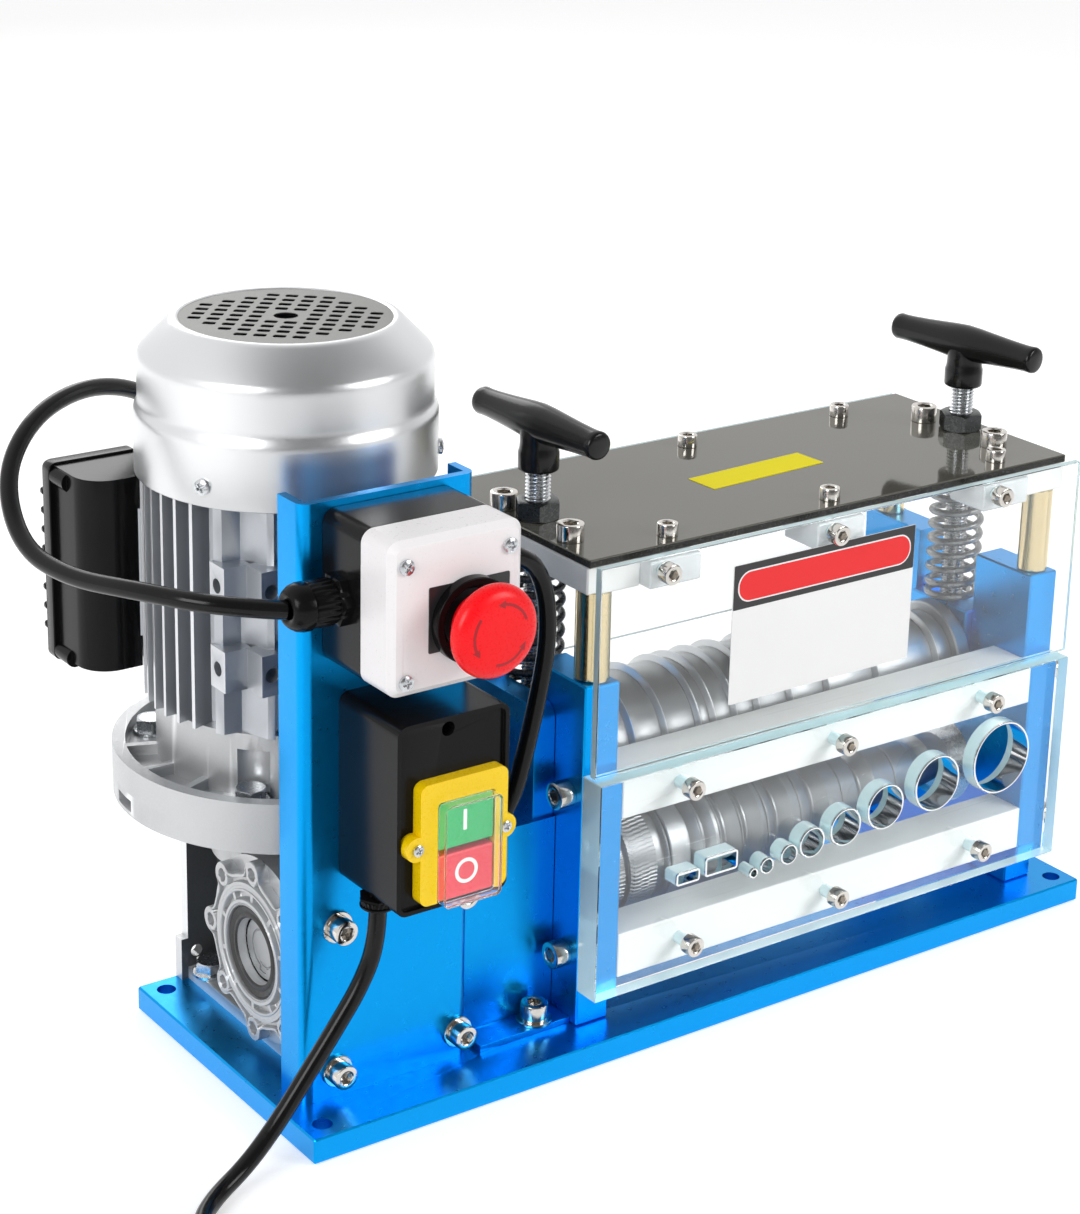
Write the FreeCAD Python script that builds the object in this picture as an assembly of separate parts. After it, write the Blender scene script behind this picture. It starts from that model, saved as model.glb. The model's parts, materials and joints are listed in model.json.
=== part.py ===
import FreeCAD, Part
import math
import os

# Motor-driven bench cable stripper, millimetres, +Z up, front towards -Y.
# The origin is the centre of the base plate's underside.
Vec = FreeCAD.Vector
X, Y, Z = Vec(1, 0, 0), Vec(0, 1, 0), Vec(0, 0, 1)
RUNNING = 0.05          # radial clearance of a turning or sliding fit
EASE = 0.8              # chamfer on machined edges

# Base plate and its four mounting holes
BASE_X, BASE_Y, BASE_T = 460.0, 162.0, 12.0
MOUNT_X, MOUNT_Y, MOUNT_R = 440.0, 142.0, 4.5

# The two shafts of the stripping head, parallel to X
AXIS_Y = -3.0
FEED_Z, BLADE_Z = 63.0, 123.0
SHAFT_R, JOURNAL_R, GEARBOX_SHAFT_R = 12.5, 10.0, 9.0
ROLL_X0, ROLL_X1 = -50.0, 189.5

# Side plates with a slot for the sliding bearing blocks
LEFT_PLATE, RIGHT_PLATE = (-79.0, -61.0), (194.0, 212.0)
PLATE_Y0, PLATE_Y1, PLATE_TOP = -63.0, 60.0, 181.0
SLOT_Y0, SLOT_Y1, SLOT_Z = -24.0, 18.0, 91.0
BEARING_R, BEARING_W = 23.5, 12.0
LEFT_BLOCK, RIGHT_BLOCK = (-78.0, -51.0), (190.0, 211.0)
BLOCK_Z0, BLOCK_Z1, BLOCK_GAP = 93.0, 150.0, 0.3
BUSH_R = 14.0

# Crossbars, posts, top plate and covers of the head
LEFT_BAR, RIGHT_BAR = (-79.0, -51.0), (186.0, 212.0)
BAR_Y0, BAR_Y1, BAR_Z0, BAR_Z1 = -62.0, 60.0, 224.0, 237.0
POST_R = 7.5
POSTS = [(-70, -54), (-70, 51), (203, -54), (203, 51)]
TOP_X0, TOP_X1, TOP_Y0, TOP_Y1, TOP_T = -79.0, 213.0, -63.5, 61.0, 4.0
COVER_T, COVER_Z0, COVER_Z1 = 4.5, 140.0, 240.0
FRONT_BLOCKS = [(-51.0, -22.0), (46.0, 75.0), (151.0, 181.0)]
BLOCK_DEPTH, FRONT_BLOCK_Y, BACK_BLOCK_Y = 24.0, -69.0, 37.0

# Guide block, its rails and the wire guides: x, z, outer diameter
GUIDE_X0, GUIDE_X1, GUIDE_Y0, GUIDE_Z0, GUIDE_Z1 = -79.5, 212.5, -77.5, 30.5, 138.5
RAIL_Z = [(115.0, 137.0), (35.0, 57.0)]
RAIL_DEPTH = 22.0
ROUND_GUIDES = [
    (11.3, 72.4, 5.3), (19.4, 74.1, 8.2), (32.8, 76.4, 10.3), (46.9, 79.0, 15.5),
    (67.8, 81.7, 19.3), (93.1, 85.9, 23.2), (126.6, 90.2, 29.0), (169.6, 93.6, 37.7),
]
FLAT_GUIDES = [(-8.7, 83.0, 19.3, 9.7), (-28.3, 81.0, 13.8, 6.3)]
GUIDE_WALL, GUIDE_LENGTH, GUIDE_PROUD = 1.0, 10.5, 0.8

# Rollers: blade discs above, feed wheels below
DISC_X = [-29.5, -10.5, 9.5, 18.5, 31.5, 45.5, 66.5, 91.5, 125.5, 168.5]
DISC_HALF, DISC_BEVEL = 1.5, 3.0
DISC_R, DISC_R_END, DISC_TAPER_X = 34.0, 25.0, 60.0
SPACER_STEP = 3.0
WHEEL_R, WHEEL_R_END, WHEEL_TAPER_X, WHEEL_END_X = 28.0, 16.0, 35.0, 170.0
WHEEL_EDGES = [-50.0, -28.5, -5.0, 14.0, 25.0, 38.5, 56.0, 79.0, 108.5, 147.0, 189.0]
COLLAR_X, COLLAR_R = 181.0, 27.0
GROOVE_DEPTH, GROOVE_HALF, RELIEF_DEPTH, RELIEF_HALF = 5.0, 6.0, 3.4, 3.0

# Spur gear pair between the shafts
MODULE, TEETH, PRESSURE = 4.0, 15, 25.0
GEAR_X0, GEAR_X1, BACKLASH = -88.5, -80.5, 0.35

# Depth screws with T handles, springs and lock nuts
SCREW_X, SCREW_R, SCREW_Z0, SCREW_Z1 = [-64.5, 198.5], 6.0, 141.0, 270.0
SPRING_WIRE, SPRING_MEAN, SPRING_COILS = 1.8, 12.4, 10
HUB_R, HUB_Z0, HANDLE_Z, HANDLE_HALF = 9.5, 264.0, 286.0, 43.5
HANDLE_MID_R, HANDLE_END_R = 9.0, 6.5
HANDLE_TURN = [92.6, 98.5]
NUT_AF, NUT_T = 19.0, 9.0

# Worm gearbox and motor
MOTOR_X, MOTOR_Y = -171.0, 40.0
BOX_X0, BOX_X1, BOSS_X0, BOSS_X1 = -206.0, -136.0, -210.0, -132.0
BOX_Y0, WEB_Y0, WEB_Y1, BOX_TOP, FOOT_T = -51.0, 75.0, 81.0, 108.0, 6.0
CORE_HALF, WALL_T, STUD_Y = 19.0, 10.0, 64.0
BOSS_R, NECK_R, FLANGE_R, FLANGE_Z, FLANGE_T = 43.25, 36.0, 80.0, 120.5, 10.5
FLANGE_FLOOR, RIM_Z, RIM_R = 138.0, 144.0, 74.0
WORM_R, WHEEL_WORM_R, SLEEVE_R = 11.0, 31.0, 14.5
BOLT_CIRCLE = 65.0
SKIRT_R, SKIRT_Z, FIN_R, CORE_R, BODY_Z1 = 60.0, 167.5, 65.0, 54.0, 273.0
FINS, FIN_WIDTH, FIN_TURN = 42, 1.8, 3.4
CORNERS, CORNER_HALF = (225.0, 315.0, 45.0), 18.0
PAD_ROWS, PAD_HALF = (200.0, 238.0), 9.5
COWL = [(67.2, 272.0), (67.2, 302.0), (65.3, 303.5), (65.3, 325.0), (50.0, 341.0)]
COWL_WALL, COWL_SCREWS, COWL_SCREW_Z = 1.6, (208.0, 328.0, 88.0), 281.0

# Terminal box at the motor's rear left corner, with its lid to the back
TERMINAL_X, TERMINAL_Y, TERMINAL_Z = (-256.0, -215.0), (65.5, 98.5), (180.5, 270.0)
TERMINAL_WALL, TERMINAL_CORNER, TERMINAL_LID, TERMINAL_PAD = 3.0, 14.5, 9.0, 6.0
LID_X, LID_Z, EAR_Z, EAR_R = (-258.5, -213.5), (177.0, 271.0), (182.0, 265.0), 4.5
EARS = ((-254.0, 86.0), (-218.5, 92.0))
SADDLE_TURN, SADDLE_R, SADDLE_HALF = 145.0, 68.0, 14.0

# Switch panel, emergency stop and start/stop switch
PANEL_X0, PANEL_X1, PANEL_Y, PANEL_T, PANEL_TOP = -220.0, -134.0, -51.0, 4.0, 289.0
ESTOP = (-210.0, -145.0, 219.0, 286.0)
ESTOP_SPLIT, ESTOP_FRONT, ESTOP_AXIS = -85.0, -107.0, (-172.0, 248.0)
MUSHROOM_R, MUSHROOM_FRONT = 20.0, -131.0
COLLAR_T, COLLAR_MOUTH, COLLAR_THROAT = 5.0, 15.2, 12.9
SWITCH = (-202.0, -146.5, 117.5, 203.5)
SWITCH_FRONT = -101.0
FRAME_BOX = (-199.0, -148.5, 122.0, 177.0)
START_AT, STOP_AT, BUTTON = (-170.0, 156.0), (-170.0, 132.5), (27.0, 21.0)

# Cables
CABLE_R = 4.0
MOTOR_LEAD = [
    (-236, -70, 252), (-262, -62, 256), (-281, -28, 256), (-293, 10, 252),
    (-298, 44, 256), (-292, 72, 277), (-270, 93, 294), (-238, 110, 300),
    (-206, 123, 293), (-180, 136, 276), (-163, 155, 254), (-164, 180, 233),
    (-185, 196, 216), (-211, 190, 205), (-225, 166, 201), (-226, 129.5, 200),
]
LINK_LEAD = [
    (-133, -68, 256), (-117, -67, 253), (-105, -66, 238), (-102, -66, 212),
    (-107, -66, 184), (-113.5, -66, 158), (-119.5, -66, 139), (-128, -66, 128),
    (-138.5, -66, 125),
]
MAINS_CORD = [
    (-196, -77, 111.5), (-196.5, -77, 95), (-204, -76.5, 77), (-217, -76, 59),
    (-232, -76, 40), (-246, -76.5, 23), (-262, -79, 10), (-281, -85, 4),
    (-295, -98, 4), (-301, -118, 4), (-302, -145, 4),
]
COIL_CENTRE, COIL_MEAN, COIL_HALF, COIL_TOP = (-350.0, -165.0), 44.0, 8.6, 25.2


# ---------- shapes used by several pieces ----------

def block(x0, x1, y0, y1, z0, z1, ease=0.0):
    """Box between two corners, its edges chamfered by ease."""
    shape = Part.makeBox(x1 - x0, y1 - y0, z1 - z0, Vec(x0, y0, z0))
    return shape.makeChamfer(ease, shape.Edges) if ease else shape


def rod(start, direction, length, radius):
    """Cylinder from start along direction."""
    return Part.makeCylinder(radius, length, Vec(*start), direction)


def ring(start, direction, length, outer, inner):
    """Tube from start along direction."""
    return rod(start, direction, length, outer).cut(rod(start, direction, length, inner))


def turned(profile, origin, axis):
    """Solid of revolution of (radius, distance along axis) points about axis."""
    side = X if abs(axis.x) < 0.5 else Z
    points = [Vec(*origin) + side * r + axis * h for r, h in profile]
    face = Part.Face(Part.makePolygon(points + points[:1]))
    return face.revolve(Vec(*origin), axis, 360)


def hexagon(start, direction, length, across_flats):
    """Hexagonal prism from start along direction."""
    side = direction.cross(Z) if abs(direction.z) < 0.5 else X
    other = direction.cross(side)
    radius = across_flats / math.sqrt(3)
    corners = []
    for i in range(6):
        turn = math.radians(60 * i)
        corners.append(Vec(*start) + side * (radius * math.cos(turn)) + other * (radius * math.sin(turn)))
    return Part.Face(Part.makePolygon(corners + corners[:1])).extrude(direction * length)


def rounded(x0, x1, y0, y1, z0, z1, radius, direction):
    """Box with the four edges along direction rounded."""
    shape = Part.makeBox(x1 - x0, y1 - y0, z1 - z0, Vec(x0, y0, z0))
    edges = [e for e in shape.Edges if abs(e.tangentAt(0).dot(direction)) > 0.9]
    return shape.makeFillet(radius, edges)


def group(shapes):
    """Several solids of one node."""
    return Part.makeCompound(shapes)


def solids_of(shape):
    """One solid, or a group where a cut has left several."""
    return shape.Solids[0] if len(shape.Solids) == 1 else Part.makeCompound(shape.Solids)


def tube(route, radius, name):
    """Round tube along straight runs joined by tangent arcs, each as large as its two runs allow."""
    points = [Vec(*p) for p in route]
    edges, here, smallest = [], points[0], 1e9
    for i in range(1, len(points) - 1):
        back, ahead = points[i - 1] - points[i], points[i + 1] - points[i]
        reach = 0.45 * min(back.Length, ahead.Length)
        back.normalize()
        ahead.normalize()
        half_turn = (math.pi - back.getAngle(ahead)) / 2
        bend = reach / math.tan(half_turn)
        smallest = min(smallest, bend)
        start, end = points[i] + back * reach, points[i] + ahead * reach
        inward = back + ahead
        inward.normalize()
        middle = points[i] + inward * (bend / math.cos(half_turn) - bend)
        edges.append(Part.LineSegment(here, start).toShape())
        edges.append(Part.Arc(start, middle, end).toShape())
        here = end
    edges.append(Part.LineSegment(here, points[-1]).toShape())
    path = Part.Wire(edges)
    first = points[1] - points[0]
    circle = Part.Wire(Part.makeCircle(radius, points[0], first))
    solid = path.makePipeShell([circle], True, True)
    expected = math.pi * radius ** 2 * path.Length
    print(name, "length", round(path.Length, 1), "smallest radius", round(smallest, 1),
          "volume ratio", round(solid.Volume / expected, 4))
    return solid


def disc_radius(x):
    """Blade disc radius: full up to DISC_TAPER_X, then tapering to the right-hand end."""
    share = max(0.0, (x - DISC_TAPER_X) / (ROLL_X1 - DISC_TAPER_X))
    return DISC_R + (DISC_R_END - DISC_R) * share


def wheel_radius(x):
    """Feed wheel radius: full up to WHEEL_TAPER_X, then tapering to the right-hand end."""
    share = max(0.0, (x - WHEEL_TAPER_X) / (WHEEL_END_X - WHEEL_TAPER_X))
    return WHEEL_R + (WHEEL_R_END - WHEEL_R) * share


# ---------- fasteners of the fixed frame ----------

def socket_screw(x, y, z, out, thread_r, length, countersunk_washer=0.0):
    """Socket head cap screw with its head seated at (x, y, z) and pointing along out."""
    head_r, head_h, key = thread_r * 1.62, thread_r * 2.0, thread_r * 1.55
    base = Vec(x, y, z)
    head = Part.makeCylinder(head_r, head_h, base + out * countersunk_washer, out)
    top = base + out * (countersunk_washer + head_h * 0.45)
    head = head.cut(hexagon(tuple(top), out, head_h, key))
    shank = Part.makeCylinder(thread_r, length + countersunk_washer, base - out * length, out)
    parts = [head, shank]
    if countersunk_washer:
        parts.append(ring((x, y, z), out, countersunk_washer, thread_r * 2.1, thread_r))
    screw = parts[0]
    for part in parts[1:]:
        screw = screw.fuse(part)
    return screw.removeSplitter()


def hex_screw(x, y, z, out, thread_r, length, washer=1.6):
    """Hexagon head screw and its plain washer, seated at (x, y, z)."""
    base = Vec(x, y, z)
    head = hexagon(tuple(base + out * washer), out, thread_r * 1.35, thread_r * 3.3)
    shank = Part.makeCylinder(thread_r, length + washer, base - out * length, out)
    plain = Part.makeCylinder(thread_r * 2.15, washer, base, out)
    return head.fuse(shank).fuse(plain).removeSplitter()


def cross_screw(x, y, z, out, head_r, length):
    """Pan head screw with a cross recess."""
    base = Vec(x, y, z)
    head = Part.makeCone(head_r, head_r * 0.72, head_r * 0.7, base, out)
    side = out.cross(Z) if abs(out.z) < 0.5 else X
    other = out.cross(side)
    deep = base + out * (head_r * 0.35)
    for across in (side, other):
        slot = Part.makeBox(head_r * 1.1, head_r * 0.24, head_r)
        slot.translate(Vec(-head_r * 0.55, -head_r * 0.12, 0))
        slot.Placement = FreeCAD.Placement(deep, FreeCAD.Rotation(across, out.cross(across), out)).multiply(
            slot.Placement)
        head = head.cut(slot)
    shank = Part.makeCylinder(head_r * 0.5, length, base - out * length, out)
    return head.fuse(shank).removeSplitter()


def frame_socket_screws():
    """Every socket screw: M8 on the crossbars, rails and gear cover, M7 on the panel, M6 on covers and block."""
    top = BAR_Z1 + TOP_T
    screws = [socket_screw(x, y, top, Z, 4.0, 14.0)
              for x, y in ((-70, 16), (-70, -36), (192, 17), (192, -34))]
    screws += [socket_screw(x, y, top, Z, 3.0, 14.0)
               for x, y in ((-29, -54), (67, -54), (176, -52), (-29, 46), (61, 46), (160, 46))]
    for z in (126.0, 46.0):
        screws.append(socket_screw(LEFT_PLATE[0], -52, z, -X, 4.0, 30.0))
        screws.append(socket_screw(RIGHT_PLATE[1], -52, z, X, 4.0, 30.0))
    screws += [socket_screw(x, FRONT_BLOCK_Y - COVER_T, 232.5, -Y, 3.0, 16.0) for x in (-44.5, 53.8, 158.0)]
    screws += [socket_screw(x, BACK_BLOCK_Y + BLOCK_DEPTH + COVER_T, 232.5, Y, 3.0, 16.0)
               for x in (-44.5, 53.8, 171.0)]
    for x_list, z in (((-29, 63.3, 159), 126.5), ((-26, 63.4, 158), 46.5)):
        screws += [socket_screw(x, GUIDE_Y0, z, -Y, 3.0, 26.0) for x in x_list]
    screws.append(socket_screw(-94.7, -51.6, BASE_T + 3.0, Z, 4.0, 12.0, 1.6))
    screws += [socket_screw(x, PANEL_Y - PANEL_T, z, -Y, 3.5, 12.0, 1.6)
               for x in (-203.0, -140.0) for z in (25.0, 95.0)]
    return group(screws)


def frame_hex_fasteners():
    """Hexagon screws of the motor flange and gearbox foot, and the two lock nuts."""
    parts = []
    reach = BOLT_CIRCLE * math.sqrt(0.5)
    for sx in (-1, 1):
        for sy in (-1, 1):
            parts.append(hex_screw(MOTOR_X + sx * reach, MOTOR_Y + sy * reach,
                                   FLANGE_FLOOR, Z, 4.0, 16.0))
    for x in (BOX_X0 + 6, BOX_X1 - 6):
        parts.append(hex_screw(x, STUD_Y, BASE_T + FOOT_T, Z, 4.0, 14.0))
    for x in SCREW_X:
        nut = hexagon((x, AXIS_Y, BAR_Z1 + TOP_T), Z, NUT_T, NUT_AF)
        parts.append(nut.cut(rod((x, AXIS_Y, BAR_Z1 + TOP_T), Z, NUT_T, SCREW_R + RUNNING)))
    return group(parts)


def frame_cross_screws():
    """Cross-head screws of the motor cowl, terminal lid, stop station and switch frame."""
    parts = []
    for turn in COWL_SCREWS:
        out = Vec(math.cos(math.radians(turn)), math.sin(math.radians(turn)), 0)
        at = Vec(MOTOR_X, MOTOR_Y, COWL_SCREW_Z) + out * COWL[0][0]
        parts.append(cross_screw(at.x, at.y, at.z, out, 3.6, 6.0))
    for x in (ESTOP[0] + 7.5, ESTOP[1] - 7.5):
        for z in (ESTOP[2] + 7.0, ESTOP[3] - 10.5):
            parts.append(cross_screw(x, ESTOP_FRONT, z, -Y, 3.4, 16.0))
    for x in (FRAME_BOX[0] + 4.5, FRAME_BOX[1] - 2.0):
        parts.append(cross_screw(x, SWITCH_FRONT - 4.0, 149.0, -Y, 2.6, 9.0))
    for x, ear_start in EARS:
        for z in EAR_Z:
            parts.append(cross_screw(x, TERMINAL_Y[1] + TERMINAL_LID, z, Y, 2.8, 15.0))
    return group(parts)


# ---------- frame of the machine ----------

def base_plate():
    plate = block(-BASE_X / 2, BASE_X / 2, -BASE_Y / 2, BASE_Y / 2, 0, BASE_T, EASE)
    for sx in (-1, 1):
        for sy in (-1, 1):
            plate = plate.cut(rod((sx * MOUNT_X / 2, sy * MOUNT_Y / 2, 0), Z, BASE_T, MOUNT_R))
    return plate


def side_plate(x0, x1):
    plate = block(x0, x1, PLATE_Y0, PLATE_Y1, BASE_T, PLATE_TOP, EASE)
    plate = plate.cut(block(x0, x1, SLOT_Y0, SLOT_Y1, SLOT_Z, PLATE_TOP))
    return plate.cut(rod((x0, AXIS_Y, FEED_Z), X, x1 - x0, BEARING_R))


def crossbars():
    bars = []
    for (x0, x1), x in zip((LEFT_BAR, RIGHT_BAR), SCREW_X):
        bar = block(x0, x1, BAR_Y0, BAR_Y1, BAR_Z0, BAR_Z1, EASE)
        bars.append(bar.cut(rod((x, AXIS_Y, BAR_Z0), Z, BAR_Z1 - BAR_Z0, SCREW_R + RUNNING)))
    return group(bars)


def support_posts():
    return group([rod((x, y, PLATE_TOP), Z, BAR_Z0 - PLATE_TOP, POST_R) for x, y in POSTS])


def top_plate():
    plate = block(TOP_X0, TOP_X1, TOP_Y0, TOP_Y1, BAR_Z1, BAR_Z1 + TOP_T, 0.5)
    for x in SCREW_X:
        plate = plate.cut(rod((x, AXIS_Y, BAR_Z1), Z, TOP_T, SCREW_R + 0.5))
    return plate


def cover_blocks():
    blocks = []
    for x0, x1 in FRONT_BLOCKS:
        for y in (FRONT_BLOCK_Y, BACK_BLOCK_Y):
            blocks.append(block(x0, x1, y, y + BLOCK_DEPTH, BAR_Z0, BAR_Z1, EASE))
    return group(blocks)


def cover(y):
    return block(TOP_X0 - 1, TOP_X1 + 1, y, y + COVER_T, COVER_Z0, COVER_Z1, 0.5)


def guide_block():
    plate = block(GUIDE_X0, GUIDE_X1, GUIDE_Y0, PLATE_Y0, GUIDE_Z0, GUIDE_Z1, 0.5)
    depth = PLATE_Y0 - GUIDE_Y0
    for x, z, outer in ROUND_GUIDES:
        plate = plate.cut(rod((x, GUIDE_Y0, z), Y, depth, outer / 2))
    for x, z, wide, high in FLAT_GUIDES:
        hole = rounded(x - wide / 2, x + wide / 2, GUIDE_Y0, PLATE_Y0, z - high / 2, z + high / 2, 1.5, Y)
        plate = plate.cut(hole)
    return plate


def guide_rails():
    return group([block(LEFT_PLATE[1], RIGHT_PLATE[0], PLATE_Y0, PLATE_Y0 + RAIL_DEPTH, z0, z1, 0.5)
                  for z0, z1 in RAIL_Z])


def guide_dies():
    """Thin round and rectangular tubes that lead each wire size to its groove."""
    front = GUIDE_Y0 - GUIDE_PROUD
    dies = [ring((x, front, z), Y, GUIDE_LENGTH, outer / 2, outer / 2 - GUIDE_WALL)
            for x, z, outer in ROUND_GUIDES]
    for x, z, wide, high in FLAT_GUIDES:
        outside = rounded(x - wide / 2, x + wide / 2, front, front + GUIDE_LENGTH,
                          z - high / 2, z + high / 2, 1.5, Y)
        inside = rounded(x - wide / 2 + GUIDE_WALL, x + wide / 2 - GUIDE_WALL, front, front + GUIDE_LENGTH,
                         z - high / 2 + GUIDE_WALL, z + high / 2 - GUIDE_WALL, 0.5, Y)
        dies.append(outside.cut(inside))
    return group(dies)


# ---------- gearbox ----------

def gearbox_housing():
    """Casting: core round worm and wheel, output boss, foot, front wall, back web and motor flange."""
    core = block(MOTOR_X - CORE_HALF, MOTOR_X + CORE_HALF, BOX_Y0, WEB_Y0, BASE_T, BOX_TOP)
    foot = block(BOX_X0, BOX_X1, BOX_Y0, WEB_Y1, BASE_T, BASE_T + FOOT_T)
    front = block(BOX_X0, BOX_X1, BOX_Y0, BOX_Y0 + WALL_T, BASE_T, BOX_TOP)
    web = block(BOX_X0, BOX_X1, WEB_Y0, WEB_Y1, BASE_T, FLANGE_Z)
    heel = block(BOX_X0 - 3.5, BOX_X1 + 3.5, WEB_Y0, WEB_Y1, BASE_T, 33.0)
    boss = rod((BOSS_X0, AXIS_Y, FEED_Z), X, BOSS_X1 - BOSS_X0, BOSS_R)
    neck = rod((MOTOR_X, MOTOR_Y, BOX_TOP - 20), Z, FLANGE_Z - BOX_TOP + 20, NECK_R)
    flange = rod((MOTOR_X, MOTOR_Y, FLANGE_Z), Z, FLANGE_T, FLANGE_R)
    shape = core.fuse(foot).fuse(front).fuse(web).fuse(heel).fuse(boss).fuse(neck).fuse(flange)
    cavity = rod((MOTOR_X - CORE_HALF, AXIS_Y, FEED_Z), X, 2 * CORE_HALF, WHEEL_WORM_R + 3)
    worm_room = rod((MOTOR_X, MOTOR_Y, BASE_T + 10), Z, FLANGE_Z + FLANGE_T - BASE_T - 10, WORM_R + 3)
    seats = rod((BOSS_X0, AXIS_Y, FEED_Z), X, BOSS_X1 - BOSS_X0, BEARING_R)
    shape = shape.cut(cavity).cut(worm_room).cut(seats)
    for x in (BOX_X0 + 4.5, BOX_X1 - 4.5):
        shape = shape.cut(rod((x, WEB_Y0, 25.5), Y, WEB_Y1 - WEB_Y0, 3.0))
    notch = block(-FLANGE_R - 1, -66.0, -7.5, 7.5, 122.5, 128.0)
    notch.rotate(Vec(0, 0, 0), Z, -6.5)
    notch.translate(Vec(MOTOR_X, MOTOR_Y, 0))
    return shape.cut(notch).removeSplitter()


def gearbox_output_cover():
    """Eight-lobed bearing cover on the free output face."""
    start = BOSS_X0 - 5.5
    plate = rod((start, AXIS_Y, FEED_Z), X, 5.5, BOSS_R - 5)
    for i in range(8):
        turn = math.radians(45 * i)
        y, z = AXIS_Y + 37.5 * math.cos(turn), FEED_Z + 37.5 * math.sin(turn)
        plate = plate.fuse(rod((start, y, z), X, 5.5, 6.5))
    plate = plate.fuse(rod((start - 2.5, AXIS_Y, FEED_Z), X, 8.0, BEARING_R))
    for i in range(8):
        turn = math.radians(45 * i)
        y, z = AXIS_Y + 37.5 * math.cos(turn), FEED_Z + 37.5 * math.sin(turn)
        plate = plate.cut(rod((start, y, z), X, 3.0, 3.2))
    return plate.cut(rod((start - 2.5, AXIS_Y, FEED_Z), X, 8.0, SLEEVE_R + 0.5)).removeSplitter()


def ball_bearings():
    """Feed shaft bearings in the side plates and sleeve bearings in the gearbox."""
    parts = []
    for x0, x1 in (LEFT_PLATE, RIGHT_PLATE):
        start = (x0 + x1 - BEARING_W) / 2
        parts.append(ring((start, AXIS_Y, FEED_Z), X, BEARING_W, BEARING_R, SHAFT_R + RUNNING))
    for start in (BOSS_X0 + 4, BOSS_X1 - 14):
        parts.append(ring((start, AXIS_Y, FEED_Z), X, 10.0, BEARING_R, SLEEVE_R + RUNNING))
    return group(parts)


def worm_wheel():
    """Worm wheel on its hollow output sleeve."""
    wheel = rod((MOTOR_X - 14, AXIS_Y, FEED_Z), X, 28.0, WHEEL_WORM_R)
    sleeve = rod((BOSS_X0 + 0.5, AXIS_Y, FEED_Z), X, BOSS_X1 - BOSS_X0 - 1.0, SLEEVE_R)
    return wheel.fuse(sleeve).cut(rod((BOSS_X0, AXIS_Y, FEED_Z), X, 80.0, GEARBOX_SHAFT_R)).removeSplitter()


# ---------- motor ----------

def motor_flange():
    """Flange with a raised rim, radial ribs and a skirt that clears the four bolts."""
    z = FLANGE_Z + FLANGE_T
    plate = rod((MOTOR_X, MOTOR_Y, z), Z, FLANGE_FLOOR - z, FLANGE_R)
    rim = ring((MOTOR_X, MOTOR_Y, z), Z, RIM_Z - z, FLANGE_R, RIM_R)
    skirt = rod((MOTOR_X, MOTOR_Y, z), Z, SKIRT_Z - z, SKIRT_R)
    shape = plate.fuse(rim).fuse(skirt)
    for turn in (0, 22, -22, 90, 68, 112, 180, 158, 202, 270, 248, 292):
        rib = block(SKIRT_R - 2, RIM_R + 1, -1.8, 1.8, z, RIM_Z - 1)
        rib.rotate(Vec(0, 0, 0), Z, turn)
        rib.translate(Vec(MOTOR_X, MOTOR_Y, 0))
        shape = shape.fuse(rib)
    reach = BOLT_CIRCLE * math.sqrt(0.5)
    for sx in (-1, 1):
        for sy in (-1, 1):
            room = rod((MOTOR_X + sx * reach, MOTOR_Y + sy * reach, FLANGE_FLOOR), Z, 22.0, 9.2)
            shape = shape.cut(room)
    return shape.cut(rod((MOTOR_X, MOTOR_Y, z), Z, SKIRT_Z - z, 18.0)).removeSplitter()


def fin_profile():
    """Closed outline of the finned stator housing, seen from above, bare where the foot pads stand."""
    points = []
    for i in range(FINS):
        degrees = FIN_TURN + 360.0 * i / FINS
        if any(abs(degrees - corner) < CORNER_HALF for corner in CORNERS):
            continue
        middle = math.radians(degrees)
        for radius, side in ((CORE_R, -1), (FIN_R, -1), (FIN_R, 1), (CORE_R, 1)):
            turn = middle + side * FIN_WIDTH / 2 / radius
            points.append(Vec(MOTOR_X + radius * math.cos(turn), MOTOR_Y + radius * math.sin(turn), SKIRT_Z))
    return Part.Face(Part.makePolygon(points + points[:1]))


def foot_corner(corner):
    """Corner where feet could be bolted on: two ribs on a stepped wall, with two rows of drilled pads."""
    outline = [(-50, -29.5), (-55.3, -32.4), (-53.1, -36), (-44.8, -37.2), (-39.5, -50.4), (-37, -52.4),
               (-34.5, -45), (-30, -48), (-25, -40), (-40, -25)]
    points = [Vec(x, y, SKIRT_Z) for x, y in outline]
    shape = Part.Face(Part.makePolygon(points + points[:1])).extrude(Z * (BODY_Z1 - SKIRT_Z))
    for z in PAD_ROWS:
        shape = shape.fuse(block(-57.0, -44.0, -44.5, -32.0, z - PAD_HALF, z + PAD_HALF))
        shape = shape.fuse(block(-46.0, -28.0, -57.0, -44.0, z - PAD_HALF, z + PAD_HALF))
    for z in PAD_ROWS:
        shape = shape.cut(rod((-57.0, -38.0, z), X, 9.0, 3.3)).cut(rod((-41.0, -57.0, z), Y, 9.0, 3.3))
    if corner == 315.0:
        shape = shape.mirror(Vec(0, 0, 0), X)
    elif corner == 45.0:
        shape.rotate(Vec(0, 0, 0), Z, 180)
    shape.translate(Vec(MOTOR_X, MOTOR_Y, 0))
    return shape


def motor_body():
    height = BODY_Z1 - SKIRT_Z
    shape = fin_profile().extrude(Z * height)
    for corner in CORNERS:
        shape = shape.fuse(foot_corner(corner))
    saddle = block(CORE_R - 3, SADDLE_R, -SADDLE_HALF, SADDLE_HALF, 195.0, 255.0)
    saddle.rotate(Vec(0, 0, 0), Z, SADDLE_TURN)
    saddle.translate(Vec(MOTOR_X, MOTOR_Y, 0))
    shape = shape.fuse(saddle)
    return shape.cut(rod((MOTOR_X, MOTOR_Y, SKIRT_Z), Z, height, 46.0)).removeSplitter()


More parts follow.
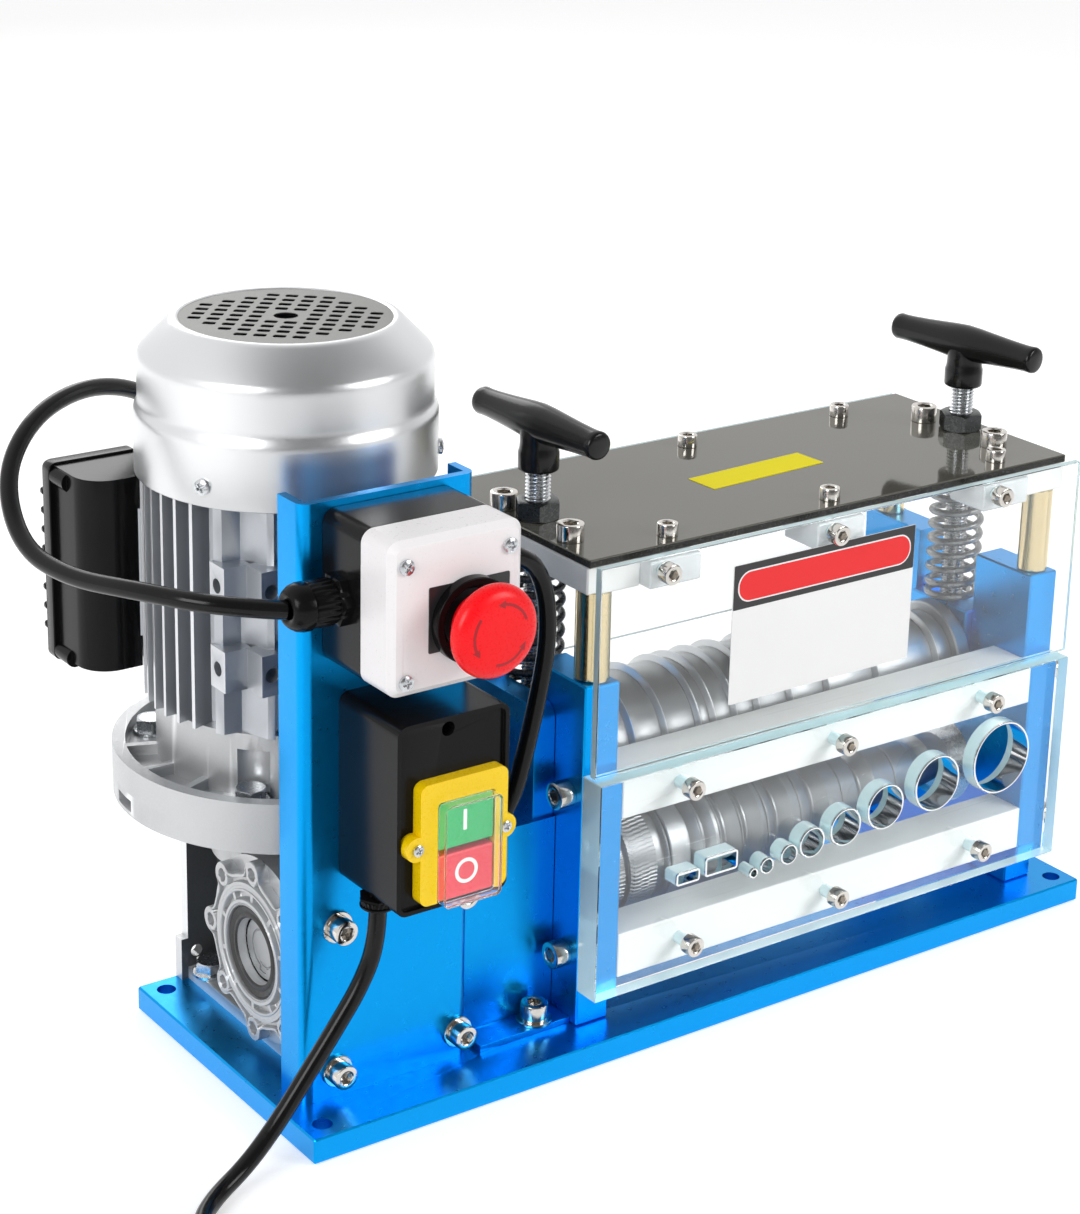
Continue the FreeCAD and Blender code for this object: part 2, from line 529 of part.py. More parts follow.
def stator():
    return ring((MOTOR_X, MOTOR_Y, 172.0), Z, 80.0, 46.0, 32.0)


def rotor_core():
    return ring((MOTOR_X, MOTOR_Y, 172.0), Z, 80.0, 31.6, 7.0)


def motor_shaft_worm():
    """Motor shaft down into the gearbox, with the worm as a plain cylinder."""
    shaft = rod((MOTOR_X, MOTOR_Y, 26.0), Z, 290.0, 7.0)
    return shaft.fuse(rod((MOTOR_X, MOTOR_Y, 36.0), Z, 48.0, WORM_R)).removeSplitter()


def cooling_fan():
    hub = ring((MOTOR_X, MOTOR_Y, 286.0), Z, 22.0, 14.0, 7.0)
    disc = ring((MOTOR_X, MOTOR_Y, 286.0), Z, 3.0, 46.0, 14.0)
    shape = hub.fuse(disc)
    for i in range(7):
        blade = Part.makeBox(34.0, 2.0, 20.0, Vec(12.0, -1.0, 287.0))
        blade.rotate(Vec(0, 0, 0), Z, 360.0 * i / 7)
        blade.translate(Vec(MOTOR_X, MOTOR_Y, 0))
        shape = shape.fuse(blade)
    return shape.removeSplitter()


def motor_cowl():
    """Sheet steel fan cowl with a slotted grille in its top."""
    outer = [(r, z) for r, z in COWL]
    inner = [(r - COWL_WALL, z - (COWL_WALL if r == COWL[-1][0] else 0)) for r, z in COWL]
    profile = outer + [(0.0, COWL[-1][1]), (0.0, COWL[-1][1] - COWL_WALL)] + inner[::-1]
    shape = turned(profile, (MOTOR_X, MOTOR_Y, 0), Z)
    top = COWL[-1][1]
    for row in range(-4, 5):
        half = math.sqrt(max(0.0, 44.0 ** 2 - (row * 9.5) ** 2))
        slot_count = max(1, int(half * 2 // 26))
        for i in range(slot_count):
            y = (i - (slot_count - 1) / 2) * 26.0
            if abs(row) < 2 and abs(y) < 20:
                continue
            slot = rounded(MOTOR_X + row * 9.5 - 2, MOTOR_X + row * 9.5 + 2, MOTOR_Y + y - 9, MOTOR_Y + y + 9,
                           top - 3, top + 1, 1.9, Z)
            shape = shape.cut(slot)
    return shape


def terminal_box_body():
    """Deep plastic box with rounded corners, hollowed out round the motor, with an ear at each lid screw."""
    (x0, x1), (y0, y1), (z0, z1) = TERMINAL_X, TERMINAL_Y, TERMINAL_Z
    shape = rounded(x0, x1, y0, y1, z0, z1, TERMINAL_CORNER, Z)
    shape = shape.fuse(block(x0, x1, y1 - TERMINAL_CORNER - 1.0, y1, z0, z1))
    wall = TERMINAL_WALL
    room = rounded(x0 + wall, x1 - wall, y0 + wall, y1 + TERMINAL_CORNER, z0 + wall, z1 - wall,
                   TERMINAL_CORNER - wall, Z)
    shape = shape.cut(room.cut(rod((MOTOR_X, MOTOR_Y, z0), Z, z1 - z0, FIN_R + TERMINAL_PAD)))
    for x, ear_start in EARS:
        for z in EAR_Z:
            shape = shape.fuse(rod((x, ear_start, z), Y, y1 - ear_start, EAR_R))
    return shape.cut(rod((MOTOR_X, MOTOR_Y, z0 - 1), Z, z1 - z0 + 2, FIN_R + 0.3)).removeSplitter()


def terminal_box_lid():
    return rounded(*LID_X, TERMINAL_Y[1], TERMINAL_Y[1] + TERMINAL_LID, *LID_Z, 4.0, Y)


# ---------- switch panel and controls ----------

def switch_panel():
    front = PANEL_Y - PANEL_T
    sheet = block(PANEL_X0, PANEL_X1, front, PANEL_Y, BASE_T, PANEL_TOP)
    left = block(PANEL_X0, PANEL_X0 + PANEL_T, front, PANEL_Y + 15.0, BASE_T, PANEL_TOP)
    right = block(PANEL_X1 - PANEL_T, PANEL_X1, front, PANEL_Y + 12.0, 112.0, PANEL_TOP)
    shape = sheet.fuse(left).fuse(right).removeSplitter()
    corners = [e for e in shape.Edges if e.Length > 150 and abs(e.BoundBox.YMin - front) < 0.01
               and abs(e.tangentAt(0).z) > 0.9]
    return shape.makeFillet(PANEL_T + 1.0, corners)


def estop_base():
    x0, x1, z0, z1 = ESTOP
    shape = rounded(x0, x1, ESTOP_SPLIT, PANEL_Y - PANEL_T, z0, z1, 6.0, Y)
    return shape.cut(rod((ESTOP_AXIS[0], -58.0, ESTOP_AXIS[1]), -Y, 30.0, 14.0))


def estop_cover():
    x0, x1, z0, z1 = ESTOP
    shape = rounded(x0, x1, ESTOP_FRONT, ESTOP_SPLIT, z0, z1, 6.0, Y)
    edges = [e for e in shape.Edges if abs(e.BoundBox.YMax - ESTOP_FRONT) < 0.01]
    shape = shape.makeChamfer(3.0, edges)
    return shape.cut(rod((ESTOP_AXIS[0], ESTOP_SPLIT, ESTOP_AXIS[1]), -Y, 30.0, 14.0))


def estop_barrel():
    """Threaded barrel of the stop button with its front collar."""
    x, z = ESTOP_AXIS
    body = rod((x, -64.0, z), -Y, 43.0, 13.5)
    front = ESTOP_FRONT - COLLAR_T
    collar = rod((x, ESTOP_FRONT, z), -Y, COLLAR_T, 18.5)
    shape = body.fuse(collar)
    shape = shape.cut(rod((x, front, z), Y, COLLAR_T + 2.0, COLLAR_THROAT))
    shape = shape.cut(rod((x, front, z), Y, COLLAR_T - 1.5, COLLAR_MOUTH))
    return shape.cut(rod((x, -64.0, z), -Y, 60.0, 5.0 + RUNNING)).removeSplitter()


def estop_plunger():
    x, z = ESTOP_AXIS
    return rod((x, -70.0, z), -Y, 50.0, 5.0)


def estop_mushroom():
    """Mushroom head: waisted skirt below a shallow domed cap, hollow for the plunger."""
    x, z = ESTOP_AXIS
    profile = [(5.05, -112.6), (12.5, -112.6), (13.5, -115.0), (15.5, -119.0), (17.5, -120.5), (MUSHROOM_R, -123.0),
               (MUSHROOM_R, -126.0), (18.5, -129.2), (14.0, -130.6), (0.0, MUSHROOM_FRONT),
               (0.0, -120.2), (5.05, -120.2)]
    return turned(profile, (x, 0, z), Y)


def switch_box():
    x0, x1, z0, z1 = SWITCH
    shape = rounded(x0, x1, SWITCH_FRONT, PANEL_Y - PANEL_T, z0, z1, 5.0, Y)
    shape = shape.cut(rounded(x0 + 2, x1 - 2, SWITCH_FRONT, SWITCH_FRONT + 2.0, z0 + 2, z1 - 2, 3.5, Y))
    for x, z in (START_AT, STOP_AT):
        shape = shape.cut(block(x - BUTTON[0] / 2 - 0.5, x + BUTTON[0] / 2 + 0.5, SWITCH_FRONT, -84.0,
                                z - BUTTON[1] / 2 - 0.5, z + BUTTON[1] / 2 + 0.5))
    return shape.cut(rod((-176.0, SWITCH_FRONT, 197.0), Y, 14.0, 3.15))


def switch_frame():
    """Yellow bezel with an ear at each side."""
    x0, x1, z0, z1 = FRAME_BOX
    front = SWITCH_FRONT - 4.0
    shape = rounded(x0 + 6, x1 - 1, front, SWITCH_FRONT + 2.0, z0, z1, 4.0, Y)
    for x in (x0 + 4.5, x1 - 2.0):
        shape = shape.fuse(rod((x, front, 149.0), Y, 6.0, 5.5))
    opening = rounded(START_AT[0] - 14.5, START_AT[0] + 14.5, front, SWITCH_FRONT + 2.0,
                      STOP_AT[1] - 11.5, START_AT[1] + 11.5, 2.0, Y)
    shape = shape.cut(opening)
    reach = block(x1 - 1 - 5, x1 + 5, SWITCH_FRONT, SWITCH_FRONT + 2.0, z0 - 1, z1 + 1)
    return shape.cut(reach.common(block(SWITCH[1] - 2, x1 + 5, front, 0, z0 - 1, z1 + 1))).removeSplitter()


def switch_window():
    """Clear splash cover clipped over both buttons."""
    x0, x1 = START_AT[0] - 14.5, START_AT[0] + 14.5
    z0, z1 = STOP_AT[1] - 11.5, START_AT[1] + 11.5
    front = SWITCH_FRONT - 4.0
    shape = rounded(x0, x1, front - 5.5, front, z0, z1, 3.0, Y)
    return shape.cut(rounded(x0 + 1, x1 - 1, front - 4.5, front, z0 + 1, z1 - 1, 2.0, Y))


def button(at):
    x, z = at
    return block(x - BUTTON[0] / 2, x + BUTTON[0] / 2, SWITCH_FRONT - 3.5, -88.0,
                 z - BUTTON[1] / 2, z + BUTTON[1] / 2, 0.6)


def gland(start, direction, length, radius):
    """Cable gland: hexagon seat, round body and domed cap around the cable's bore."""
    nut = hexagon(start, direction, length * 0.25, radius * 1.9)
    top = Vec(*start) + direction * (length * 0.25)
    body = Part.makeCone(radius, radius * 0.9, length * 0.45, top, direction)
    cap = Part.makeCone(radius * 0.95, CABLE_R + 1.5, length * 0.3, top + direction * (length * 0.45), direction)
    return nut.fuse(body).fuse(cap).removeSplitter()


def cable_glands():
    """Glands of the stop station, the switch box and the terminal box."""
    return group([
        gland((ESTOP[0], -70.0, 252.0), -X, 26.0, 10.5),
        gland((ESTOP[1], -68.0, 256.0), X, 12.0, 9.0),
        gland((SWITCH[1], -66.0, 125.0), X, 8.0, 8.0),
        gland((-196.0, -77.0, SWITCH[2]), -Z, 6.0, 8.0),
        gland((-226.0, TERMINAL_Y[1] + TERMINAL_LID, 200.0), Y, 22.0, 9.5),
    ])


# ---------- stripping head ----------

def bearing_blocks():
    blocks = []
    for (x0, x1), x in zip((LEFT_BLOCK, RIGHT_BLOCK), SCREW_X):
        shape = block(x0, x1, SLOT_Y0 + BLOCK_GAP, SLOT_Y1 - BLOCK_GAP, BLOCK_Z0, BLOCK_Z1, EASE)
        shape = shape.cut(rod((x0, AXIS_Y, BLADE_Z), X, x1 - x0, BUSH_R))
        blocks.append(shape.cut(rod((x, AXIS_Y, SCREW_Z0 - 1), Z, 13.0, SCREW_R + RUNNING)))
    return group(blocks)


def blade_bushes():
    return group([ring((x0, AXIS_Y, BLADE_Z), X, x1 - x0, BUSH_R, JOURNAL_R + RUNNING)
                  for x0, x1 in (LEFT_BLOCK, RIGHT_BLOCK)])


def springs():
    """Return springs around the depth screws, between bearing blocks and crossbars."""
    coils = []
    low, high = BLOCK_Z1 + SPRING_WIRE + 0.2, BAR_Z0 - SPRING_WIRE - 0.2
    for x in SCREW_X:
        pitch = (high - low) / SPRING_COILS
        helix = Part.makeHelix(pitch, high - low, SPRING_MEAN)
        wire = Part.Wire(Part.makeCircle(SPRING_WIRE, Vec(SPRING_MEAN, 0, 0), Y))
        coil = Part.Wire(helix).makePipeShell([wire], True, True)
        coil.translate(Vec(x, AXIS_Y, low))
        coils.append(coil)
    return group(coils)


def blade_shaft():
    middle = rod((ROLL_X0 - 0.5, AXIS_Y, BLADE_Z), X, ROLL_X1 - ROLL_X0 + 1.0, SHAFT_R)
    journal = rod((GEAR_X0 - 0.2, AXIS_Y, BLADE_Z), X, RIGHT_BLOCK[1] + 0.7 - GEAR_X0, JOURNAL_R)
    return middle.fuse(journal).removeSplitter()


def cutting_discs():
    discs = []
    for x in DISC_X:
        r = disc_radius(x)
        profile = [(SHAFT_R, x - DISC_HALF), (r - DISC_BEVEL, x - DISC_HALF), (r, x - 0.25), (r, x + 0.25),
                   (r - DISC_BEVEL, x + DISC_HALF), (SHAFT_R, x + DISC_HALF)]
        discs.append(turned(profile, (0, AXIS_Y, BLADE_Z), X))
    return group(discs)


def blade_spacers():
    """Hubs between the cutting discs, their rims following the taper of the discs."""
    spacers = []
    starts = [ROLL_X0 + 10] + [x + DISC_HALF for x in DISC_X]
    ends = [x - DISC_HALF for x in DISC_X] + [COLLAR_X]
    for x0, x1 in zip(starts, ends):
        r0, r1 = disc_radius(x0) - SPACER_STEP, disc_radius(x1) - SPACER_STEP
        profile = [(SHAFT_R, x0), (r0 - 0.6, x0), (r0, x0 + 0.6), (r1, x1 - 0.6), (r1 - 0.6, x1), (SHAFT_R, x1)]
        spacers.append(turned(profile, (0, AXIS_Y, BLADE_Z), X))
    spacers.append(ring((ROLL_X0, AXIS_Y, BLADE_Z), X, 10.0, 22.0, SHAFT_R))
    spacers.append(ring((COLLAR_X, AXIS_Y, BLADE_Z), X, ROLL_X1 - COLLAR_X, COLLAR_R, SHAFT_R))
    return group(spacers)


def involute_gear(teeth, module, pressure, thin, width):
    """Spur gear about +X with involute flanks, each flank thinned by half of thin, tooth on +Z."""
    pitch_r, tip_r = module * teeth / 2, module * (teeth + 1.7) / 2
    base_r = pitch_r * math.cos(math.radians(pressure))
    root_r = module * (teeth - 2.4) / 2
    half_tooth = (math.pi * module / 2 - thin) / 2 / pitch_r
    roll = math.tan(math.radians(pressure)) - math.radians(pressure)
    flank = []
    for i in range(6):
        radius = max(base_r, root_r) + (tip_r - max(base_r, root_r)) * i / 5
        swing = math.acos(base_r / radius)
        flank.append((radius, half_tooth + roll - (math.tan(swing) - swing)))
    flank.insert(0, (root_r, flank[0][1] + 0.01))
    points = []
    for i in range(teeth):
        middle = 2 * math.pi * i / teeth
        outline = [(r, middle - a) for r, a in flank] + [(r, middle + a) for r, a in flank[::-1]]
        points += [Vec(0, r * math.sin(a), r * math.cos(a)) for r, a in outline]
    return Part.Face(Part.makePolygon(points + points[:1])).extrude(X * width)


def spur_gear(z, bore, turn):
    gear = involute_gear(TEETH, MODULE, PRESSURE, BACKLASH, GEAR_X1 - GEAR_X0)
    gear.rotate(Vec(0, 0, 0), X, turn)
    gear.translate(Vec(GEAR_X0, AXIS_Y, z))
    return gear.cut(rod((GEAR_X0, AXIS_Y, z), X, GEAR_X1 - GEAR_X0, bore))


def feed_shaft():
    inner = rod((-131.5, AXIS_Y, FEED_Z), X, RIGHT_PLATE[1] - 1 + 131.5, SHAFT_R)
    keyed = rod((-209.0, AXIS_Y, FEED_Z), X, 80.0, GEARBOX_SHAFT_R)
    return inner.fuse(keyed).removeSplitter()


def feed_wheels():
    """Two knurled wheels for flat cable, then one V-grooved wheel under each blade disc."""
    wheels = []
    for i, (x0, x1) in enumerate(zip(WHEEL_EDGES[:-1], WHEEL_EDGES[1:])):
        disc, left, right = DISC_X[i], wheel_radius(x0), wheel_radius(x1)
        middle = wheel_radius(disc)
        flat = i < 2
        depth = RELIEF_DEPTH if flat else min(GROOVE_DEPTH, middle - SHAFT_R - 0.9)
        half = RELIEF_HALF if flat else min(GROOVE_HALF, disc - x0 - 0.8, x1 - disc - 0.8)
        floor = half if flat else 0.4
        profile = [(SHAFT_R, x0), (left - 0.4, x0), (left, x0 + 0.4), (middle, disc - half),
                   (middle - depth, disc - floor), (middle - depth, disc + floor), (middle, disc + half),
                   (right, x1 - 0.7), (right - 0.4, x1 - 0.3), (SHAFT_R, x1 - 0.3)]
        wheels.append(turned(profile, (0, AXIS_Y, FEED_Z), X))
    return group(wheels)


def adjusting_screw(x):
    return rod((x, AXIS_Y, SCREW_Z0), Z, SCREW_Z1 - SCREW_Z0, SCREW_R)


def t_handle(x, turn):
    """Cross bar with swollen middle, through a round hub on the screw's top."""
    hub = rod((x, AXIS_Y, HUB_Z0), Z, HANDLE_Z + 8 - HUB_Z0, HUB_R)
    profile = [(0.0, -HANDLE_HALF), (HANDLE_END_R - 0.8, -HANDLE_HALF), (HANDLE_END_R, -HANDLE_HALF + 0.8),
               (HANDLE_END_R, -HANDLE_HALF + 12), (HANDLE_MID_R, -12.0), (HANDLE_MID_R, 12.0),
               (HANDLE_END_R, HANDLE_HALF - 12), (HANDLE_END_R, HANDLE_HALF - 0.8),
               (HANDLE_END_R - 0.8, HANDLE_HALF), (0.0, HANDLE_HALF)]
    bar = turned(profile, (0, 0, 0), X)
    bar.rotate(Vec(0, 0, 0), Z, turn)
    bar.translate(Vec(x, AXIS_Y, HANDLE_Z))
    return hub.fuse(bar).cut(rod((x, AXIS_Y, SCREW_Z0), Z, SCREW_Z1 - SCREW_Z0, SCREW_R)).removeSplitter()


def gear_cover():
    """Folded sheet cover: a tunnel over the drive shaft and a narrow hood over the gear pair."""
    wall, open_x = 2.0, LEFT_PLATE[0] - 0.2
    low = block(-129.0, open_x, -43.0, 37.0, BASE_T, 111.0)
    hood = rounded(-90.5, open_x, -41.0, 35.0, BASE_T, 166.0, 8.0, X)
    outside = low.fuse(hood)
    room = block(-130.0, open_x, -43.0 + wall, 37.0 - wall, BASE_T - 1, 111.0 - wall)
    hood_room = rounded(-90.5 + 1.5, open_x, -41.0 + wall, 35.0 - wall, BASE_T - 20, 166.0 - wall, 6.0, X)
    foot = block(-129.0, open_x, -58.0, -43.0, BASE_T, BASE_T + 3.0)
    return outside.cut(room).cut(hood_room).fuse(foot).removeSplitter()


# ---------- cables ----------

def coil_solid():
    """Closed outer shape of the wound-up length of the mains cord."""
    x, y = COIL_CENTRE
    return ring((x, y, 0), Z, COIL_TOP, COIL_MEAN + COIL_HALF, COIL_MEAN - COIL_HALF)


def mains_plug():
    """Moulded plug with three flat pins, lying on its side beside the coil."""
    x, z = COIL_CENTRE[0] - COIL_MEAN, 12.0
    y = COIL_CENTRE[1] + math.sqrt((COIL_MEAN + COIL_HALF) ** 2 - COIL_MEAN ** 2) + 4.0
    relief = Part.makeCone(CABLE_R + 0.6, 8.0, 24.0, Vec(x, y, z), Y)
    body = rounded(x - 12, x + 12, y + 24, y + 56, 0.0, 24.0, 5.0, Y)
    shape = relief.fuse(body)
    for dx, dz in ((-6.3, 5.0), (6.3, 5.0), (0.0, -6.0)):
        shape = shape.fuse(block(x + dx - 0.9, x + dx + 0.9, y + 50, y + 73, z + dz - 3.1, z + dz + 3.1))
    return shape.cut(coil_solid()).removeSplitter()


# ---------- write every sub-part ----------

SOCKETS, HEXES, CROSSES = frame_socket_screws(), frame_hex_fasteners(), frame_cross_screws()
GLANDS = cable_glands()


def drilled(shape):
    """Open the shape for every fastener that passes through it."""
    for screws in (SOCKETS, HEXES, CROSSES):
        if shape.BoundBox.intersect(screws.BoundBox):
            shape = shape.cut(screws)
    return solids_of(shape)


def save(name, shape):
    """Write one node and report whether its solids are sound."""
    shape.exportStep("parts/" + name + ".step")
    if not shape.isValid() or not shape.Solids:
        print("CHECK", name, "valid", shape.isValid(), "solids", len(shape.Solids))


os.makedirs("parts", exist_ok=True)
MOTOR_TUBE = tube(MOTOR_LEAD, CABLE_R, "motor_lead")
LINK_TUBE = tube(LINK_LEAD, CABLE_R, "link_lead")
MAINS_TUBE = tube(MAINS_CORD, CABLE_R, "mains_cord")

MOTOR_HOUSING = motor_body()
FIXED = {
    "base_plate": base_plate(),
    "side_plate_left": side_plate(*LEFT_PLATE),
    "side_plate_right": side_plate(*RIGHT_PLATE),
    "crossbars": crossbars(),
    "support_posts": support_posts(),
    "top_plate": top_plate(),
    "cover_blocks": cover_blocks(),
    "front_cover": cover(FRONT_BLOCK_Y - COVER_T),
    "rear_cover": cover(BACK_BLOCK_Y + BLOCK_DEPTH),
    "guide_block": guide_block(),
    "guide_rails": guide_rails(),
    "gearbox_housing": gearbox_housing(),
    "motor_flange": motor_flange(),
    "motor_body": MOTOR_HOUSING,
    "motor_cowl": motor_cowl(),
    "terminal_box_body": terminal_box_body().cut(MOTOR_HOUSING),
    "terminal_box_lid": terminal_box_lid(),
    "switch_panel": switch_panel(),
    "estop_base": estop_base(),
    "estop_cover": estop_cover(),
    "switch_box": switch_box(),
    "switch_frame": switch_frame(),
    "gear_cover": gear_cover(),
}
for node, solid in FIXED.items():
    save(node, drilled(solid))

PLAIN = {
    "guide_dies": guide_dies(),
    "gearbox_output_cover": gearbox_output_cover(),
    "ball_bearings": ball_bearings(),
    "stator": stator(),
    "estop_barrel": estop_barrel(),
    "switch_window": switch_window(),
    "socket_screws": SOCKETS,
    "hex_fasteners": HEXES,
    "cross_head_screws": CROSSES,
    "cable_glands": solids_of(GLANDS.cut(group([MOTOR_TUBE, LINK_TUBE, MAINS_TUBE]))),
    "motor_lead": MOTOR_TUBE,
    "link_lead": LINK_TUBE,
    "mains_cord": solids_of(MAINS_TUBE.cut(coil_solid())),
    "mains_cord_coil": coil_solid(),
    "mains_plug": mains_plug(),
    "springs": springs(),
    "motor_shaft_worm": motor_shaft_worm(),
    "rotor_core": rotor_core(),
    "cooling_fan": cooling_fan(),
    "feed_shaft": feed_shaft(),
    "feed_wheels": feed_wheels(),
    "feed_gear": spur_gear(FEED_Z, SHAFT_R, 0.0),
    "worm_wheel": worm_wheel(),
    "bearing_blocks": bearing_blocks(),
    "blade_bushes": blade_bushes(),
    "blade_shaft": blade_shaft(),
    "cutting_discs": cutting_discs(),
    "blade_spacers": blade_spacers(),
    "blade_gear": spur_gear(BLADE_Z, JOURNAL_R, 0.0),
    "left_adjusting_screw": adjusting_screw(SCREW_X[0]),
    "left_t_handle": t_handle(SCREW_X[0], HANDLE_TURN[0]),
    "right_adjusting_screw": adjusting_screw(SCREW_X[1]),
    "right_t_handle": t_handle(SCREW_X[1], HANDLE_TURN[1]),
    "estop_plunger": estop_plunger(),
    "estop_mushroom": estop_mushroom(),
    "start_button": button(START_AT),
    "stop_button": button(STOP_AT),
}
for node, solid in PLAIN.items():
    save(node, solid)
print("nodes", len(FIXED) + len(PLAIN))
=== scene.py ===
import json
import math
import bmesh
import bpy
import numpy as np
from mathutils import Matrix, Vector

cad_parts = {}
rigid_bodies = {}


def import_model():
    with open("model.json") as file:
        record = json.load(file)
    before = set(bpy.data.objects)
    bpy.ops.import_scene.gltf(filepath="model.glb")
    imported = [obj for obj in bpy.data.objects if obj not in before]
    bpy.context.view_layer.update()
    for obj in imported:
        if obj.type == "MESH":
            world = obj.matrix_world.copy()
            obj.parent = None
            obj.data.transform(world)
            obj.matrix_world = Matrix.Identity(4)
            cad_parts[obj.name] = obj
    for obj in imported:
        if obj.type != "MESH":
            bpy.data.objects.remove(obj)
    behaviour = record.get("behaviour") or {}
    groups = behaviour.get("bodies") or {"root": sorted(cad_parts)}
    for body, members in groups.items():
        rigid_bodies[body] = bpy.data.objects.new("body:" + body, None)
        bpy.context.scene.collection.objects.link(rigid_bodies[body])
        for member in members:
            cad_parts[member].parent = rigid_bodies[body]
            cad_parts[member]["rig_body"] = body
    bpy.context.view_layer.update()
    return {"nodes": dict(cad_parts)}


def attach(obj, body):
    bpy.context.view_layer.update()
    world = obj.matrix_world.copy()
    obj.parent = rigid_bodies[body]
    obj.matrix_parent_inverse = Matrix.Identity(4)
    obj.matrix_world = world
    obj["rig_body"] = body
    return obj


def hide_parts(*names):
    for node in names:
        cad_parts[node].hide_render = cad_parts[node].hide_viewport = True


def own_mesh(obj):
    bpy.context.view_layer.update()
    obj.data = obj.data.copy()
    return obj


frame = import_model()

# ---- Camera: stands in front of the motor end, a little above the machine, and looks down
# along the stripping head. The vertical shift holds the machine low in an upright picture.
CAMERA_AT = (-0.7667419, -0.9817690, 0.6566995)
YAW, PITCH, ROLL = (math.radians(a) for a in (35.68869, -17.874606, 1.325167))
ahead = Vector((math.sin(YAW) * math.cos(PITCH), math.cos(YAW) * math.cos(PITCH), math.sin(PITCH)))
level = Vector((math.cos(YAW), -math.sin(YAW), 0))
above = level.cross(ahead)
side = level * math.cos(ROLL) + above * math.sin(ROLL)
head_up = above * math.cos(ROLL) - level * math.sin(ROLL)
camera = bpy.data.objects.new("camera", bpy.data.cameras.new("camera"))
camera.data.lens, camera.data.sensor_width, camera.data.shift_y = 82.817, 36.0, -0.1211
camera.matrix_world = Matrix.Translation(CAMERA_AT) @ Matrix((side, head_up, -ahead)).transposed().to_4x4()
bpy.context.scene.collection.objects.link(camera)
bpy.context.scene.camera = camera
bpy.context.scene.view_settings.view_transform = "Standard"

# ---- Studio: three soft area lamps, a white surround that metal mirrors dimmer in front and above,
# and a white table that it mirrors brighter behind. The table keeps a faint shadow of the machine.
LAMPS = [
    ("key_lamp", (-2.3, -0.8, 1.3), (-0.1, 0.0, 0.15), 1.2, 30.0),
    ("fill_lamp", (1.5, -2.2, 1.3), (0.0, 0.0, 0.12), 1.2, 30.0),
    ("back_lamp", (0.5, 2.2, 1.3), (0.0, 0.0, 0.15), 1.2, 9.0),
]
for lamp_name, at, target, width, power in LAMPS:
    lamp = bpy.data.lights.new(lamp_name, "AREA")
    lamp.size, lamp.energy = width, power
    holder = bpy.data.objects.new(lamp_name, lamp)
    holder.location = at
    holder.rotation_euler = (Vector(target) - Vector(at)).to_track_quat("-Z", "Y").to_euler()
    bpy.context.scene.collection.objects.link(holder)


def seen_share(nodes, links, low, high, mirrored):
    """Socket that is high for camera and glass rays, follows the socket mirrored for mirror rays, and is
    low for the rays that light things."""
    rays = nodes.new("ShaderNodeLightPath")
    seen, glossy, chosen = nodes.new("ShaderNodeMath"), nodes.new("ShaderNodeMix"), nodes.new("ShaderNodeMix")
    seen.operation = "MAXIMUM"
    links.new(rays.outputs["Is Camera Ray"], seen.inputs[0])
    links.new(rays.outputs["Is Transmission Ray"], seen.inputs[1])
    links.new(rays.outputs["Is Glossy Ray"], glossy.inputs["Factor"])
    glossy.inputs["A"].default_value = low
    links.new(mirrored, glossy.inputs["B"])
    links.new(seen.outputs[0], chosen.inputs["Factor"])
    links.new(glossy.outputs["Result"], chosen.inputs["A"])
    chosen.inputs["B"].default_value = high
    return chosen.outputs["Result"]


DARK_TURN, DARK_TILT = math.radians(38), -0.4
BRIGHT_WAY = (math.sin(YAW - DARK_TURN), math.cos(YAW - DARK_TURN), DARK_TILT)


def brightening(nodes, links, output, span, strengths):
    """Node whose result goes from the first strength to the second over the span of a place or direction,
    measured along the bright way."""
    along, rise = nodes.new("ShaderNodeVectorMath"), nodes.new("ShaderNodeMapRange")
    along.operation = "DOT_PRODUCT"
    along.inputs[1].default_value = BRIGHT_WAY
    links.new(nodes.new("ShaderNodeTexCoord").outputs[output], along.inputs[0])
    links.new(along.outputs["Value"], rise.inputs["Value"])
    rise.inputs["From Min"].default_value, rise.inputs["From Max"].default_value = span
    rise.inputs["To Min"].default_value, rise.inputs["To Max"].default_value = strengths
    return rise


world = bpy.data.worlds.new("white_room")
world.use_nodes = True
bpy.context.scene.world = world
surround = world.node_tree.nodes["Background"]
surround.inputs["Color"].default_value = (1, 1, 1, 1)
air, beams = world.node_tree.nodes, world.node_tree.links
dim = brightening(air, beams, "Generated", (-0.9, 0.15), (0.16, 1.0))
dim.interpolation_type = "SMOOTHSTEP"
beams.new(seen_share(air, beams, 0.5, 1.0, dim.outputs["Result"]), surround.inputs["Strength"])

table = bpy.data.objects.new("table_top", bpy.data.meshes.new("table_top"))
REACH, TABLE_TOP = 6.0, -0.0004
table.data.from_pydata([(x, y, TABLE_TOP) for x, y in ((-REACH, -REACH), (REACH, -REACH), (REACH, REACH),
                                                       (-REACH, REACH))], [], [(0, 1, 2, 3)])
bpy.context.scene.collection.objects.link(table)
table_white = bpy.data.materials.new("table_white")
table_white.use_nodes = True
paint, wires = table_white.node_tree.nodes, table_white.node_tree.links
table_base = paint["Principled BSDF"]
table_base.inputs["Base Color"].default_value = (0.86, 0.86, 0.86, 1)
table_base.inputs["Roughness"].default_value = 0.6
table_base.inputs["Specular IOR Level"].default_value = 0.2
table_base.inputs["Emission Color"].default_value = (1, 1, 1, 1)
glow = brightening(paint, wires, "Object", (-0.6, 0.3), (0.2, 0.7))
wires.new(seen_share(paint, wires, 0.0, 0.45, glow.outputs["Result"]), table_base.inputs["Emission Strength"])
table.data.materials.append(table_white)


# ---- Cables: three round black rubber cables of 8 mm. One links the stop station to the
# motor's terminal box, one links it to the switch, and the mains lead lies on the table in a coil.
MM, CABLE_R = 0.001, 4.0


